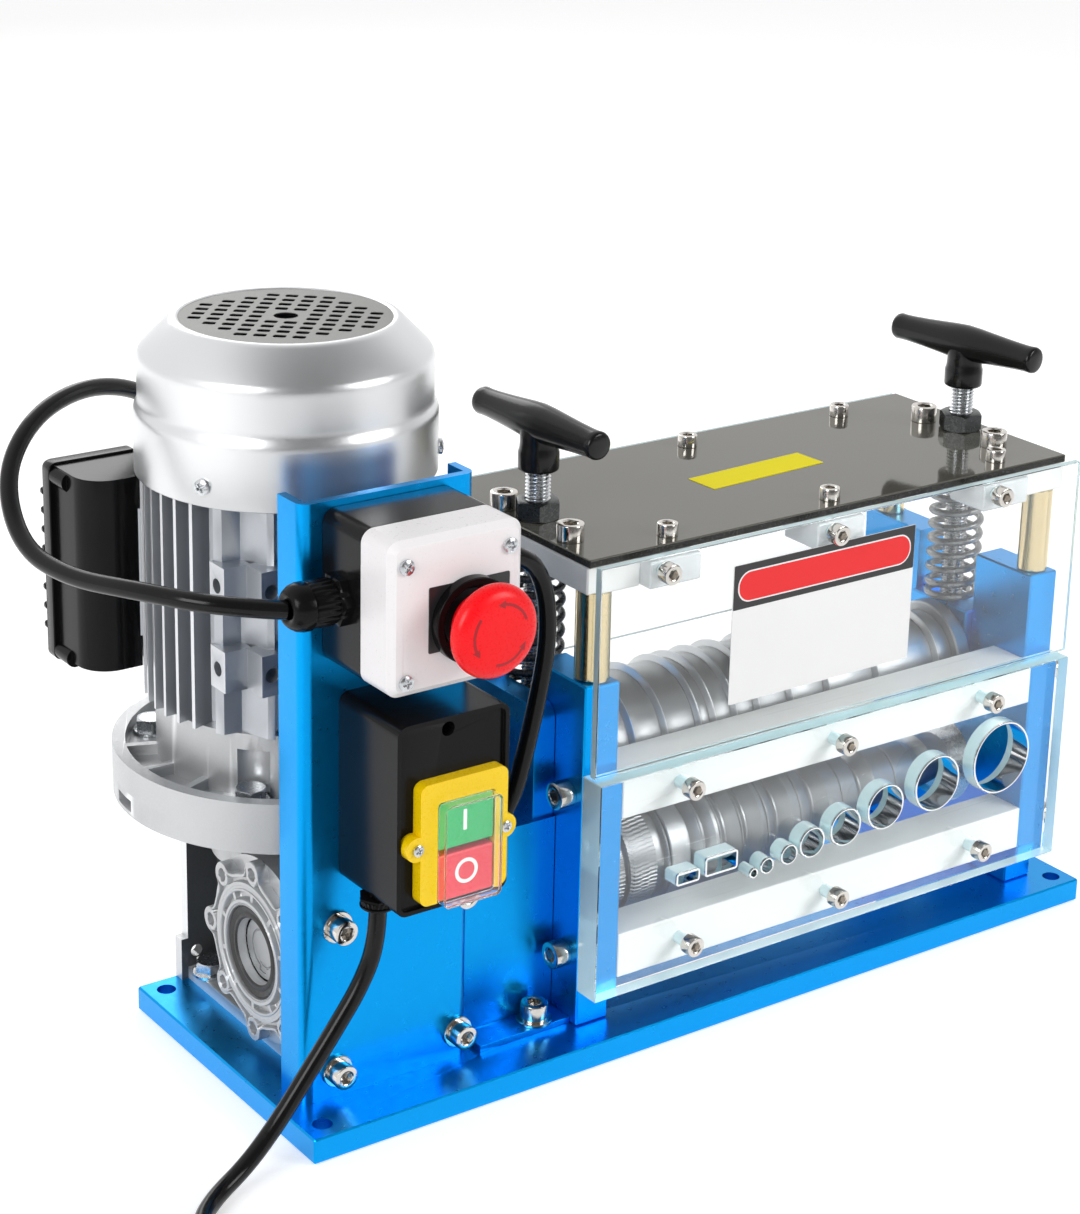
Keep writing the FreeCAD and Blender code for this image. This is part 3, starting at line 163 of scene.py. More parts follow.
def finish(name, colour, roughness, metallic=0.0, drift=0.06, spread=0.08, grain=(900, 900, 900),
           depth=0.1, wear=None, patch=25.0, gloss=0.5):
    """Surface finish: the colour drifts by drift under a noise of patch per metre and the roughness by
    spread under a fine one, which also lifts the surface by depth. grain is the fine noise's frequency per
    metre along X, Y and Z, so unequal numbers give brushed lines. wear is a colour for exposed edges."""
    material = bpy.data.materials.new(name)
    material.use_nodes = True
    nodes, links = material.node_tree.nodes, material.node_tree.links
    shader = nodes["Principled BSDF"]
    shader.inputs["Metallic"].default_value = metallic
    shader.inputs["Specular IOR Level"].default_value = gloss
    place = nodes.new("ShaderNodeTexCoord").outputs["Object"]
    stretch = nodes.new("ShaderNodeMapping")
    stretch.inputs["Scale"].default_value = grain
    fine, wide = nodes.new("ShaderNodeTexNoise"), nodes.new("ShaderNodeTexNoise")
    fine.inputs["Scale"].default_value, fine.inputs["Detail"].default_value = 1.0, 3.0
    wide.inputs["Scale"].default_value, wide.inputs["Detail"].default_value = patch, 2.0
    links.new(place, stretch.inputs["Vector"])
    links.new(stretch.outputs["Vector"], fine.inputs["Vector"])
    links.new(place, wide.inputs["Vector"])
    tone = nodes.new("ShaderNodeMix")
    tone.data_type = "RGBA"
    tone.inputs["A"].default_value = (*(max(0.0, c * (1 - drift)) for c in colour), 1)
    tone.inputs["B"].default_value = (*(min(1.0, c * (1 + drift) + 0.02 * drift) for c in colour), 1)
    links.new(wide.outputs["Fac"], tone.inputs["Factor"])
    result = tone.outputs["Result"]
    if wear:
        ramp, over = nodes.new("ShaderNodeMapRange"), nodes.new("ShaderNodeMix")
        links.new(nodes.new("ShaderNodeNewGeometry").outputs["Pointiness"], ramp.inputs["Value"])
        ramp.inputs["From Min"].default_value, ramp.inputs["From Max"].default_value = 0.53, 0.6
        over.data_type = "RGBA"
        links.new(ramp.outputs["Result"], over.inputs["Factor"])
        links.new(result, over.inputs["A"])
        over.inputs["B"].default_value = (*wear, 1)
        result = over.outputs["Result"]
    links.new(result, shader.inputs["Base Color"])
    rough = nodes.new("ShaderNodeMapRange")
    rough.inputs["From Min"].default_value, rough.inputs["From Max"].default_value = 0.3, 0.7
    rough.inputs["To Min"].default_value = max(0.02, roughness - spread)
    rough.inputs["To Max"].default_value = min(1.0, roughness + spread)
    links.new(fine.outputs["Fac"], rough.inputs["Value"])
    links.new(rough.outputs["Result"], shader.inputs["Roughness"])
    if depth:
        lift = nodes.new("ShaderNodeBump")
        lift.inputs["Strength"].default_value = depth
        lift.inputs["Distance"].default_value = 0.0004
        links.new(fine.outputs["Fac"], lift.inputs["Height"])
        links.new(lift.outputs["Normal"], shader.inputs["Normal"])
    return material


cable_rubber = finish("cable_rubber", (0.003, 0.003, 0.0035), 0.18, drift=0.3, spread=0.05,
                      grain=(500, 500, 500), depth=0.03, gloss=0.22)

MOTOR_LEAD = [
    (-236, -70, 252), (-262, -62, 256), (-281, -28, 256), (-293, 10, 252),
    (-298, 44, 256), (-292, 72, 277), (-270, 93, 294), (-238, 110, 300),
    (-206, 123, 293), (-180, 136, 276), (-163, 155, 254), (-164, 180, 233),
    (-185, 196, 216), (-211, 190, 205), (-225, 166, 201), (-226, 129.5, 200),
]
LINK_LEAD = [
    (-133, -68, 256), (-117, -67, 253), (-105, -66, 238), (-102, -66, 212),
    (-107, -66, 184), (-113.5, -66, 158), (-119.5, -66, 139), (-128, -66, 128),
    (-138.5, -66, 125),
]
MAINS_CORD = [
    (-196, -77, 111.5), (-196.5, -77, 95), (-204, -76.5, 77), (-217, -76, 59),
    (-232, -76, 40), (-246, -76.5, 23), (-262, -79, 10), (-281, -85, 4),
    (-295, -98, 4), (-301, -118, 4), (-302, -145, 4),
]
COIL_CENTRE, PLUG_X = (-350.0, -165.0), -394.0
COIL_TURN = [0, 300, 360, 640, 672, 970, 1030, 1310, 1342, 1640, 1700, 1980]
COIL_RADIUS = [48.3, 48.3, 39.7, 39.7, 39.7, 39.7, 48.3, 48.3, 48.3, 48.3, 39.7, 39.7]
COIL_HEIGHT = [4.2, 4.2, 4.2, 4.2, 12.6, 12.6, 12.6, 12.6, 21.0, 21.0, 21.0, 21.0]


def coil_points():
    """Points 24 degrees apart on a circle whose radius and height step from turn to turn, each moved
    out by one over the cosine of 12 degrees because a smooth line runs inside its control points."""
    turn = np.arange(12, 1981, 24.0)
    out = np.interp(turn, COIL_TURN, COIL_RADIUS) / math.cos(math.radians(12))
    points = np.column_stack([COIL_CENTRE[0] + out * np.cos(np.radians(turn)),
                              COIL_CENTRE[1] - out * np.sin(np.radians(turn)),
                              np.interp(turn, COIL_TURN, COIL_HEIGHT)])
    return [tuple(p) for p in points]


def cable(name, route, nodes):
    """Round cable of 8 mm along a smooth line drawn from the route's points, given in millimetres."""
    curve = bpy.data.curves.new(name, "CURVE")
    curve.dimensions = "3D"
    line = curve.splines.new("NURBS")
    line.points.add(len(route) - 1)
    for point, place in zip(line.points, route):
        point.co = (*(v * MM for v in place), 1.0)
    line.order_u = 3
    line.use_endpoint_u = True
    line.resolution_u = 8
    curve.bevel_depth, curve.bevel_resolution, curve.use_fill_caps = CABLE_R * MM, 5, True
    curve.materials.append(cable_rubber)
    piece = bpy.data.objects.new(name, curve)
    bpy.context.scene.collection.objects.link(piece)
    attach(piece, "frame")
    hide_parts(*nodes)
    return piece


motor_cable = cable("motor_cable", MOTOR_LEAD, ["motor_lead"])
link_cable = cable("link_cable", LINK_LEAD, ["link_lead"])
PLUG_END = [(-389.5, -150, 18.5), (-392.5, -138, 14.0), (PLUG_X, -130, 12.0)]
mains_cable = cable("mains_cable", MAINS_CORD + coil_points() + PLUG_END, ["mains_cord", "mains_cord_coil"])


# ---- Mains plug: moulded black body with three flat nickel pins and a ribbed strain relief,
# lying on its side next to the coil, and the strap that holds the coil together.
def around(rows, steps=48, closed=False):
    """Surface about the Z axis: each row is a radius, one number or one per step, and a height, and
    the rows follow each other round the section. A radius of 0 closes the surface at its pole, and
    closed joins the last row to the first, as in a ring."""
    angle = np.arange(steps) * 2 * math.pi / steps
    radius = np.array([np.broadcast_to(r, steps) for r, z in rows], float)
    height = np.array([np.broadcast_to(z, steps) for r, z in rows], float)
    grid = np.stack([radius * np.cos(angle), radius * np.sin(angle), height], -1)
    return joined(grid, along=closed, across=True)


def joined(grid, along=False, across=False, caps=False):
    """Grid of points turned into points and four-sided faces; along closes it from the last row to the
    first, across from the last column to the first, and caps puts one flat face on each end row."""
    rows, columns = grid.shape[:2]
    index = np.arange(rows * columns).reshape(rows, columns)
    wrapped = np.vstack([index, index[:1]]) if along else index
    wrapped = np.hstack([wrapped, wrapped[:, :1]]) if across else wrapped
    faces = np.stack([wrapped[:-1, :-1], wrapped[1:, :-1], wrapped[1:, 1:], wrapped[:-1, 1:]], -1)
    faces = faces.reshape(-1, 4).tolist()
    if caps:
        faces += [index[0].tolist(), index[-1][::-1].tolist()]
    return grid.reshape(-1, 3), faces


def placed(part, at, out=(0, 0, 1), spin=0.0):
    """Part built on the Z axis, turned by spin about it, then stood at a point with Z along out."""
    turn = Vector(out).to_track_quat("Z", "Y").to_matrix() @ Matrix.Rotation(spin, 3, "Z")
    return part[0] @ np.array(turn).T + np.array(at), *part[1:]


def outline_box(wide, high, corner, steps=8):
    """Rectangle outline with round corners, steps points on each corner arc, anticlockwise."""
    arc = np.linspace(0, math.pi / 2, steps)
    loops = []
    for i, (sx, sy) in enumerate(((1, 1), (-1, 1), (-1, -1), (1, -1))):
        turn = arc + i * math.pi / 2
        loops.append(np.column_stack([sx * (wide / 2 - corner) + corner * np.cos(turn),
                                      sy * (high / 2 - corner) + corner * np.sin(turn)]))
    return np.vstack(loops)


def layered(outline, levels):
    """Outline carried up through levels of (height, inset): each inset moves every point of the outline
    inwards along the outline's normal, and both ends are closed by a flat face."""
    tangent = np.roll(outline, -1, 0) - np.roll(outline, 1, 0)
    normal = np.column_stack([-tangent[:, 1], tangent[:, 0]])
    normal /= np.linalg.norm(normal, axis=1)[:, None]
    rows = [np.column_stack([outline + normal * inset, np.full(len(outline), z)]) for z, inset in levels]
    return joined(np.array(rows), across=True, caps=True)


def eased_levels(bottom, top, edge, steps=4):
    """Levels of a slab whose top and bottom edges are quarter rounds of radius edge."""
    turn = np.linspace(0, math.pi / 2, steps)
    low = [(bottom + edge * (1 - math.cos(a)), edge * (1 - math.sin(a))) for a in turn]
    high = [(bottom + top - z, inset) for z, inset in low[::-1]]
    return low + high


def sweep(path, radius, sides=12, along=False):
    """Round bar along a path of points: at each point a circle stands square to the path, and the
    circles keep the same way up by carrying one side vector from point to point."""
    path = np.asarray(path, float)
    ahead = np.roll(path, -1, 0) - np.roll(path, 1, 0)
    if not along:
        ahead[0], ahead[-1] = path[1] - path[0], path[-1] - path[-2]
    ahead /= np.linalg.norm(ahead, axis=1)[:, None]
    first = np.cross(ahead[0], (0.0, 0.0, 1.0) if abs(ahead[0][2]) < 0.9 else (1.0, 0.0, 0.0))
    sides_of = [first / np.linalg.norm(first)]
    for direction in ahead[1:]:
        carried = sides_of[-1] - direction * np.dot(sides_of[-1], direction)
        sides_of.append(carried / np.linalg.norm(carried))
    across = np.array(sides_of)
    other = np.cross(ahead, across)
    turn = np.arange(sides) * 2 * math.pi / sides
    radius = np.broadcast_to(radius, len(path))[:, None, None]
    circles = across[:, None] * np.cos(turn)[:, None] + other[:, None] * np.sin(turn)[:, None]
    grid = path[:, None] + radius * circles
    return joined(grid, along=along, across=True, caps=not along)


def assembled(name, parts, finishes, body="frame", replaces=(), sharp=35):
    """One piece from several parts in millimetres. Each part is points and faces, and may end with the
    number of its finish. Doubled points are merged, faces are turned outwards, and edges sharper than
    sharp degrees stay crisp."""
    points, faces, which, count = [], [], [], 0
    for part in parts:
        points.append(part[0])
        faces += [[i + count for i in face] for face in part[1]]
        which += [part[2] if len(part) > 2 else 0] * len(part[1])
        count += len(part[0])
    mesh = bpy.data.meshes.new(name)
    mesh.from_pydata((np.vstack(points) * MM).tolist(), [], faces)
    mesh.polygons.foreach_set("material_index", which)
    solid = bmesh.new()
    solid.from_mesh(mesh)
    bmesh.ops.remove_doubles(solid, verts=solid.verts, dist=2e-7)
    bmesh.ops.dissolve_degenerate(solid, edges=solid.edges, dist=1e-7)
    bmesh.ops.recalc_face_normals(solid, faces=solid.faces)
    solid.to_mesh(mesh)
    solid.free()
    return shown(name, mesh, finishes, body, replaces, sharp)


def shown(name, mesh, finishes, body, replaces, sharp, edge=0.0):
    """Give a mesh its finishes and smooth shading, round its edges by edge millimetres, and fix it to one
    of the machine's bodies."""
    mesh.polygons.foreach_set("use_smooth", [True] * len(mesh.polygons))
    mesh.set_sharp_from_angle(angle=math.radians(sharp))
    for material in finishes:
        mesh.materials.append(material)
    piece = bpy.data.objects.new(name, mesh)
    bpy.context.scene.collection.objects.link(piece)
    if edge:
        bevel = piece.modifiers.new("eased_edges", "BEVEL")
        bevel.width, bevel.segments, bevel.limit_method = edge * MM, 2, "ANGLE"
        bevel.angle_limit, bevel.harden_normals = math.radians(sharp), True
        bevel.use_clamp_overlap = True
    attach(piece, body)
    if replaces:
        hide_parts(*replaces)
    return piece


def machined(node, finishes, edge=0.0, pick=None, sunk=0.0):
    """The CAD piece itself as one clean shell: its loose triangles are merged, triangles in one plane are
    joined, and its edges are rounded by edge millimetres. pick gives each face's finish from its normal
    and middle. sunk moves the whole skin inwards, so that glass and its neighbour share no plane."""
    source = frame["nodes"][node]
    mesh = source.data.copy()
    mesh.materials.clear()
    solid = bmesh.new()
    solid.from_mesh(mesh)
    bmesh.ops.remove_doubles(solid, verts=solid.verts, dist=2e-6)
    bmesh.ops.dissolve_limit(solid, angle_limit=math.radians(0.5), verts=solid.verts, edges=solid.edges)
    for face in solid.faces:
        face.material_index = pick(face.normal, face.calc_center_median() / MM) if pick else 0
    solid.normal_update()
    for vert, way in [(vert, vert.normal.copy()) for vert in solid.verts]:
        vert.co -= way * sunk * MM
    solid.to_mesh(mesh)
    solid.free()
    return shown(node + "_made", mesh, finishes, source["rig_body"], [node], 30, edge)


black_plastic = finish("black_plastic", (0.003, 0.003, 0.0035), 0.2, drift=0.25, spread=0.05,
                       grain=(1600, 1600, 1600), depth=0.03, gloss=0.13)
nickel = finish("nickel", (0.70, 0.68, 0.65), 0.2, metallic=1.0, drift=0.05, spread=0.06, depth=0.03)
PLUG_Y, PLUG_Z = -132.0, 12.0
relief_rows = [(0.0, 0.0), (4.9, 0.0)]
for i in range(6):
    fat = 5.4 + 0.42 * i
    relief_rows += [(fat, 0.4 + 4 * i), (fat, 2.4 + 4 * i),
                    (fat - 1.0, 2.9 + 4 * i), (fat - 1.0, 3.9 + 4 * i)]
relief_rows += [(7.6, 24.2), (0.0, 24.2)]
plug_parts = [placed(around(relief_rows, 32), (PLUG_X, PLUG_Y, PLUG_Z), (0, 1, 0))]
plug_parts.append(placed(layered(outline_box(24, 24, 6), eased_levels(0, 32, 2.5)),
                         (PLUG_X, PLUG_Y + 24, PLUG_Z), (0, 1, 0)))
for dx, dz in ((-6.3, 5.0), (6.3, 5.0), (0.0, -6.0)):
    pin = layered(outline_box(1.8, 6.2, 0.5, 3), [(0, 0), (21.5, 0), (22.8, 0.6)])
    plug_parts.append((*placed(pin, (PLUG_X + dx, PLUG_Y + 54, PLUG_Z + dz), (0, 1, 0)), 1))
plug = assembled("moulded_plug", plug_parts, [black_plastic, nickel],
                 replaces=["mains_plug"])
TIE_Y, TIE_Z, TIE_HALF = COIL_CENTRE[1] + 44, 13.5, (9.6, 12.5)
tie_turn = np.linspace(0, 2 * math.pi, 40, endpoint=False)
tie_across, tie_up = (np.copysign(np.abs(wave) ** 0.45, wave)
                      for wave in (np.cos(tie_turn), np.sin(tie_turn)))
tie_path = np.column_stack([np.full(40, COIL_CENTRE[0]), TIE_Y + tie_across * TIE_HALF[0],
                            TIE_Z + tie_up * TIE_HALF[1]])
coil_tie = assembled("coil_tie", [sweep(tie_path, 0.9, 8, along=True)], [black_plastic])

# ---- Blue plates: base, two side plates, sliding bearing blocks, bent switch panel and folded gear
# cover. Steel and aluminium in a deep metallic blue enamel, screwed together and down to the base.
blue_paint = finish("blue_paint", (0.0, 0.32, 0.79), 0.3, metallic=0.93, drift=0.04, spread=0.03,
                    grain=(260, 260, 260), depth=0.006, patch=9.0)
for node, easing in (("base_plate", 0.5), ("side_plate_left", 0.4), ("side_plate_right", 0.4),
                     ("bearing_blocks", 0.4), ("switch_panel", 0.6), ("gear_cover", 1.1)):
    machined(node, [blue_paint], easing)


# ---- Bright bars: two crossbars under the top plate and two guide rails, milled aluminium with a
# fine lengthwise grain.
bar_aluminium = finish("bar_aluminium", (0.84, 0.845, 0.83), 0.34, metallic=0.0, drift=0.03, spread=0.08,
                       grain=(8, 1800, 1800), depth=0.03)
for node in ("crossbars", "guide_rails"):
    machined(node, [bar_aluminium], 0.3)


# ---- Posts: four turned brass rods between the side plates and the crossbars.
AXIS_Y, FEED_Z, BLADE_Z = -3.0, 63.0, 123.0
PLATE_TOP, BAR_Z0, TOP_Z = 181.0, 224.0, 241.0
post_brass = finish("post_brass", (0.70, 0.58, 0.35), 0.2, metallic=1.0, drift=0.06, spread=0.06,
                    grain=(8, 8, 2400), depth=0.02)
POST_HIGH = BAR_Z0 - PLATE_TOP
post_rows = [(0.0, 0.0), (6.8, 0.0), (7.5, 0.7), (7.5, POST_HIGH - 0.7), (6.8, POST_HIGH), (0.0, POST_HIGH)]
posts = [placed(around(post_rows, 56), (x, y, PLATE_TOP)) for x in (-70, 203) for y in (-54, 51)]
assembled("brass_posts", posts, [post_brass], replaces=["support_posts"])


# ---- Top plate: smoked acrylic with black sawn edges, and a blank yellow label stuck on it.
smoked = finish("smoked_acrylic", (0.13, 0.125, 0.105), 0.05, metallic=0.35, drift=0.03, spread=0.03,
                depth=0.01)
smoked_edge = finish("smoked_edge", (0.014, 0.014, 0.012), 0.25, drift=0.1, spread=0.06, depth=0.02,
                     gloss=0.3)
label_yellow = finish("label_yellow", (0.92, 0.80, 0.0), 0.5, drift=0.03, spread=0.05, depth=0.02,
                      gloss=0.1)
machined("top_plate", [smoked, smoked_edge], 0.35, lambda normal, centre: 0 if abs(normal.z) > 0.7 else 1)
label_sheet = placed(layered(outline_box(71.5, 18.6, 0.5, 3), [(0, 0), (0.25, 0.02)]), (64.8, -3.2, TOP_Z),
                     spin=math.radians(3.4))
assembled("plain_label", [label_sheet], [label_yellow])


# ---- Clear acrylic: front and rear covers, the blocks that carry them and the thick guide block.
# Its polished faces are colourless and its sawn edges carry the pale cyan of the sheet.
def clear(name, tint, roughness, shade, milk=0.0):
    """See-through plastic that refracts, but lets lamps shine straight through it, dimmed to shade. milk is
    the share of light that its surface scatters."""
    material = bpy.data.materials.new(name)
    material.use_nodes = True
    nodes, links = material.node_tree.nodes, material.node_tree.links
    body = nodes["Principled BSDF"]
    body.inputs["Transmission Weight"].default_value = 1.0 - milk
    body.inputs["IOR"].default_value = 1.49
    place = nodes.new("ShaderNodeTexCoord").outputs["Object"]
    haze, tone = nodes.new("ShaderNodeTexNoise"), nodes.new("ShaderNodeMix")
    rough = nodes.new("ShaderNodeMapRange")
    haze.inputs["Scale"].default_value, haze.inputs["Detail"].default_value = 45.0, 3.0
    tone.data_type = "RGBA"
    tone.inputs["A"].default_value = (*tint, 1)
    tone.inputs["B"].default_value = (*(min(1.0, c + 0.02) for c in tint), 1)
    rough.inputs["To Min"].default_value = roughness * 0.5
    rough.inputs["To Max"].default_value = roughness * 1.5
    links.new(place, haze.inputs["Vector"])
    links.new(haze.outputs["Fac"], tone.inputs["Factor"])
    links.new(haze.outputs["Fac"], rough.inputs["Value"])
    links.new(tone.outputs["Result"], body.inputs["Base Color"])
    links.new(rough.outputs["Result"], body.inputs["Roughness"])
    passing, chosen = nodes.new("ShaderNodeBsdfTransparent"), nodes.new("ShaderNodeMixShader")
    passing.inputs["Color"].default_value = (*shade, 1)
    links.new(nodes.new("ShaderNodeLightPath").outputs["Is Shadow Ray"], chosen.inputs["Fac"])
    links.new(body.outputs["BSDF"], chosen.inputs[1])
    links.new(passing.outputs["BSDF"], chosen.inputs[2])
    links.new(chosen.outputs["Shader"], nodes["Material Output"].inputs["Surface"])
    return material


clear_acrylic = clear("clear_acrylic", (0.97, 0.98, 0.98), 0.006, (0.92, 0.95, 0.96))
acrylic_edge = clear("acrylic_edge", (0.72, 0.93, 0.96), 0.14, (0.88, 0.95, 0.96), milk=0.8)
block_acrylic = clear("block_acrylic", (0.93, 0.95, 0.96), 0.2, (0.9, 0.92, 0.93), milk=0.6)


def sheet_faces(normal, centre):
    """Polished finish on the faces of a sheet that stands across Y, edge finish on its narrow sides."""
    return 0 if abs(normal.y) > 0.7 else 1


GLASS_GAP = 0.12
for node, easing in (("front_cover", 0.3), ("rear_cover", 0.3), ("guide_block", 0.5)):
    machined(node, [clear_acrylic, acrylic_edge], easing, sheet_faces, sunk=GLASS_GAP)
machined("cover_blocks", [block_acrylic], 0.4, sunk=GLASS_GAP)


# ---- Plain card: white plastic sheet behind the front cover's face, with a dark header band and
# a rounded red bar, nothing printed on it.
white_card = finish("white_card", (0.9, 0.9, 0.9), 0.4, drift=0.02, spread=0.05, depth=0.02)
card_black = finish("card_black", (0.02, 0.02, 0.022), 0.35, drift=0.1, spread=0.05, depth=0.02)
card_red = finish("card_red", (0.86, 0.008, 0.012), 0.35, drift=0.03, spread=0.05, depth=0.02)
CARD_X, CARD_Y, CARD_Z = 49.5, -73.5, 193.6
card_parts = []
for wide, high, corner, z, low, top, which in (
        (110.0, 67.6, 0.6, CARD_Z, 0.0, 0.35, 0), (109.6, 21.4, 0.6, 216.6, 0.3, 0.5, 1),
        (105.0, 15.2, 7.2, 216.4, 0.45, 0.62, 0), (103.6, 13.8, 6.6, 216.4, 0.6, 0.72, 2)):
    sheet = layered(outline_box(wide, high, corner), [(low, 0), (top, 0.02)])
    card_parts.append((*placed(sheet, (CARD_X, CARD_Y, z), (0, -1, 0)), which))
assembled("plain_card", card_parts, [white_card, card_black, card_red], sharp=50)


# ---- Wire guides: thin chromed tubes pressed into the guide block, eight round ones in rising
# sizes and two rectangular ones for flat cable.
GUIDE_FRONT, GUIDE_LENGTH = -78.3, 10.5
ROUND_GUIDES = [
    (11.3, 72.4, 5.3), (19.4, 74.1, 8.2), (32.8, 76.4, 10.3), (46.9, 79.0, 15.5),
    (67.8, 81.7, 19.3), (93.1, 85.9, 23.2), (126.6, 90.2, 29.0), (169.6, 93.6, 37.7),
]
FLAT_GUIDES = [(-8.7, 83.0, 19.3, 9.7), (-28.3, 81.0, 13.8, 6.3)]
chrome = finish("chrome_tube", (0.86, 0.87, 0.88), 0.06, metallic=1.0, drift=0.02, spread=0.03, depth=0.01)
guides = []
for x, z, outer in ROUND_GUIDES:
    r = outer / 2
    rows = [(r - 0.2, 0), (r, 0.2), (r, GUIDE_LENGTH), (r - 1.0, GUIDE_LENGTH), (r - 1.0, 0.2), (r - 0.8, 0)]
    guides.append(placed(around(rows, 72, closed=True), (x, GUIDE_FRONT, z), (0, 1, 0)))
for x, z, wide, high in FLAT_GUIDES:
    outside, inside = outline_box(wide, high, 1.5, 5), outline_box(wide - 2, high - 2, 0.5, 5)
    loops = [(outside, 0), (outside, GUIDE_LENGTH), (inside, GUIDE_LENGTH), (inside, 0)]
    grid = np.array([np.column_stack([loop, np.full(len(loop), h)]) for loop, h in loops])
    guides.append(placed(joined(grid, along=True, across=True), (x, GUIDE_FRONT, z), (0, 1, 0)))
assembled("wire_guides", guides, [chrome], replaces=["guide_dies"])


# ---- Upper roller: hardened cutting discs held apart by turned spacers, tapering to the right,
# keyed on a shaft that turns in bushes of the sliding blocks.
ROLL_X0, ROLL_X1, COLLAR_X, SHAFT_R = -50.0, 189.5, 181.0, 12.5
DISC_X = [-29.5, -10.5, 9.5, 18.5, 31.5, 45.5, 66.5, 91.5, 125.5, 168.5]
tool_steel = finish("tool_steel", (0.66, 0.67, 0.68), 0.32, metallic=1.0, drift=0.05, spread=0.06,
                    grain=(2200, 6, 6), depth=0.02)
dark_steel = finish("dark_steel", (0.38, 0.39, 0.40), 0.42, metallic=0.9, drift=0.06, spread=0.08,
                    grain=(1500, 5, 5), depth=0.025)
zinc_steel = finish("zinc_steel", (0.62, 0.64, 0.66), 0.24, metallic=1.0, drift=0.07, spread=0.08,
                    grain=(500, 500, 500), depth=0.05)
ROLLER_STEPS = 112


def disc_radius(x):
    """Cutting disc radius: 34 mm up to x = 60, then falling evenly to 25 mm at the roller's end."""
    return 34.0 - 9.0 * max(0.0, (x - 60.0) / (ROLL_X1 - 60.0))


def on_shaft(rows, z):
    """Hollow turned piece on a shaft along X at height z; each row is a radius and a place along X."""
    start = rows[0][1]
    part = around([(r, x - start) for r, x in rows], ROLLER_STEPS, closed=True)
    return placed(part, (start, AXIS_Y, z), (1, 0, 0))


discs, spacers = [], []
for x in DISC_X:
    r = disc_radius(x)
    discs.append(on_shaft([(SHAFT_R, x - 1.5), (r - 3.2, x - 1.5), (r - 0.3, x - 0.35), (r, x),
                           (r - 0.3, x + 0.35), (r - 3.2, x + 1.5), (SHAFT_R, x + 1.5)], BLADE_Z))
for x0, x1 in zip([ROLL_X0 + 10] + [x + 1.5 for x in DISC_X], [x - 1.5 for x in DISC_X] + [COLLAR_X]):
    r0, r1 = disc_radius(x0) - 3.0, disc_radius(x1) - 3.0
    spacers.append(on_shaft([(SHAFT_R, x0), (r0 - 0.7, x0), (r0 - 0.2, x0 + 0.3), (r0, x0 + 0.8),
                             (r1, x1 - 0.8), (r1 - 0.2, x1 - 0.3), (r1 - 0.7, x1), (SHAFT_R, x1)], BLADE_Z))
for x0, x1, r in ((ROLL_X0, ROLL_X0 + 10, 22.0), (COLLAR_X, ROLL_X1, 27.0)):
    spacers.append(on_shaft([(SHAFT_R, x0), (r - 0.8, x0), (r, x0 + 0.8), (r, x1 - 0.8), (r - 0.8, x1),
                             (SHAFT_R, x1)], BLADE_Z))
BLADE_BODY = frame["nodes"]["cutting_discs"]["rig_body"]
FEED_BODY = frame["nodes"]["feed_wheels"]["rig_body"]
assembled("disc_stack", discs, [tool_steel], BLADE_BODY, ["cutting_discs"], sharp=20)
assembled("disc_spacers", spacers, [dark_steel], BLADE_BODY, ["blade_spacers"])
machined("blade_shaft", [zinc_steel], 0.3)


# ---- Lower roller: steel feed wheels on the driven shaft. The two on the left are knurled for flat
# cable, and each of the others has a groove under its disc.
WHEEL_EDGES = [-50.0, -28.5, -5.0, 14.0, 25.0, 38.5, 56.0, 79.0, 108.5, 147.0, 189.0]
KNURLS = 84


def wheel_radius(x):
    """Feed wheel radius: 28 mm up to x = 35, then falling evenly to 16 mm at x = 170."""
    return 28.0 - 12.0 * max(0.0, (x - 35.0) / 135.0)


def knurled(radius, shift):
    """Radius per step of a band of straight teeth, cut 0.7 mm deep and turned by shift teeth."""
    tooth = (np.arange(KNURLS * 4) / 4 + shift) % 1.0
    return radius - 0.7 * np.clip(1.6 * np.abs(tooth * 2 - 1) - 0.3, 0, 1)


wheels = []
for i, (x0, x1) in enumerate(zip(WHEEL_EDGES[:-1], WHEEL_EDGES[1:])):
    disc, left, right = DISC_X[i], wheel_radius(x0), wheel_radius(x1)
    middle = wheel_radius(disc)
    if i < 2:
        rows = [(SHAFT_R, x0), (left - 1.6, x0), (left - 0.9, x0 + 0.5)]
        rows += [(knurled(left, i * 0.25), x) for i, x in enumerate(np.linspace(x0 + 0.9, disc - 3.6, 4))]
        rows += [(left - 1.0, disc - 3.2), (left - 3.4, disc - 3.0),
                 (left - 3.4, disc + 3.0), (left - 1.0, disc + 3.2)]
        rows += [(knurled(left, i * 0.25), x) for i, x in enumerate(np.linspace(disc + 3.6, x1 - 1.2, 4))]
        rows += [(left - 0.9, x1 - 0.8), (left - 1.6, x1 - 0.3), (SHAFT_R, x1 - 0.3)]
        part = around([(r, x - x0) for r, x in rows], KNURLS * 4, closed=True)
        wheels.append(placed(part, (x0, AXIS_Y, FEED_Z), (1, 0, 0)))
        continue
    depth = min(5.0, middle - SHAFT_R - 0.9)
    half = min(6.0, disc - x0 - 0.8, x1 - disc - 0.8)
    wheels.append(on_shaft([(SHAFT_R, x0), (left - 0.5, x0), (left, x0 + 0.5), (middle, disc - half - 0.2),
                            (middle - 0.3, disc - half + 0.2), (middle - depth, disc - 0.5),
                            (middle - depth, disc + 0.5), (middle - 0.3, disc + half - 0.2),
                            (middle, disc + half + 0.2), (right, x1 - 0.8), (right - 0.5, x1 - 0.3),
                            (SHAFT_R, x1 - 0.3)], FEED_Z))
assembled("feed_rollers", wheels, [dark_steel], FEED_BODY, ["feed_wheels"], sharp=28)
for node in ("feed_shaft", "feed_gear", "blade_gear"):
    machined(node, [zinc_steel], 0.25)


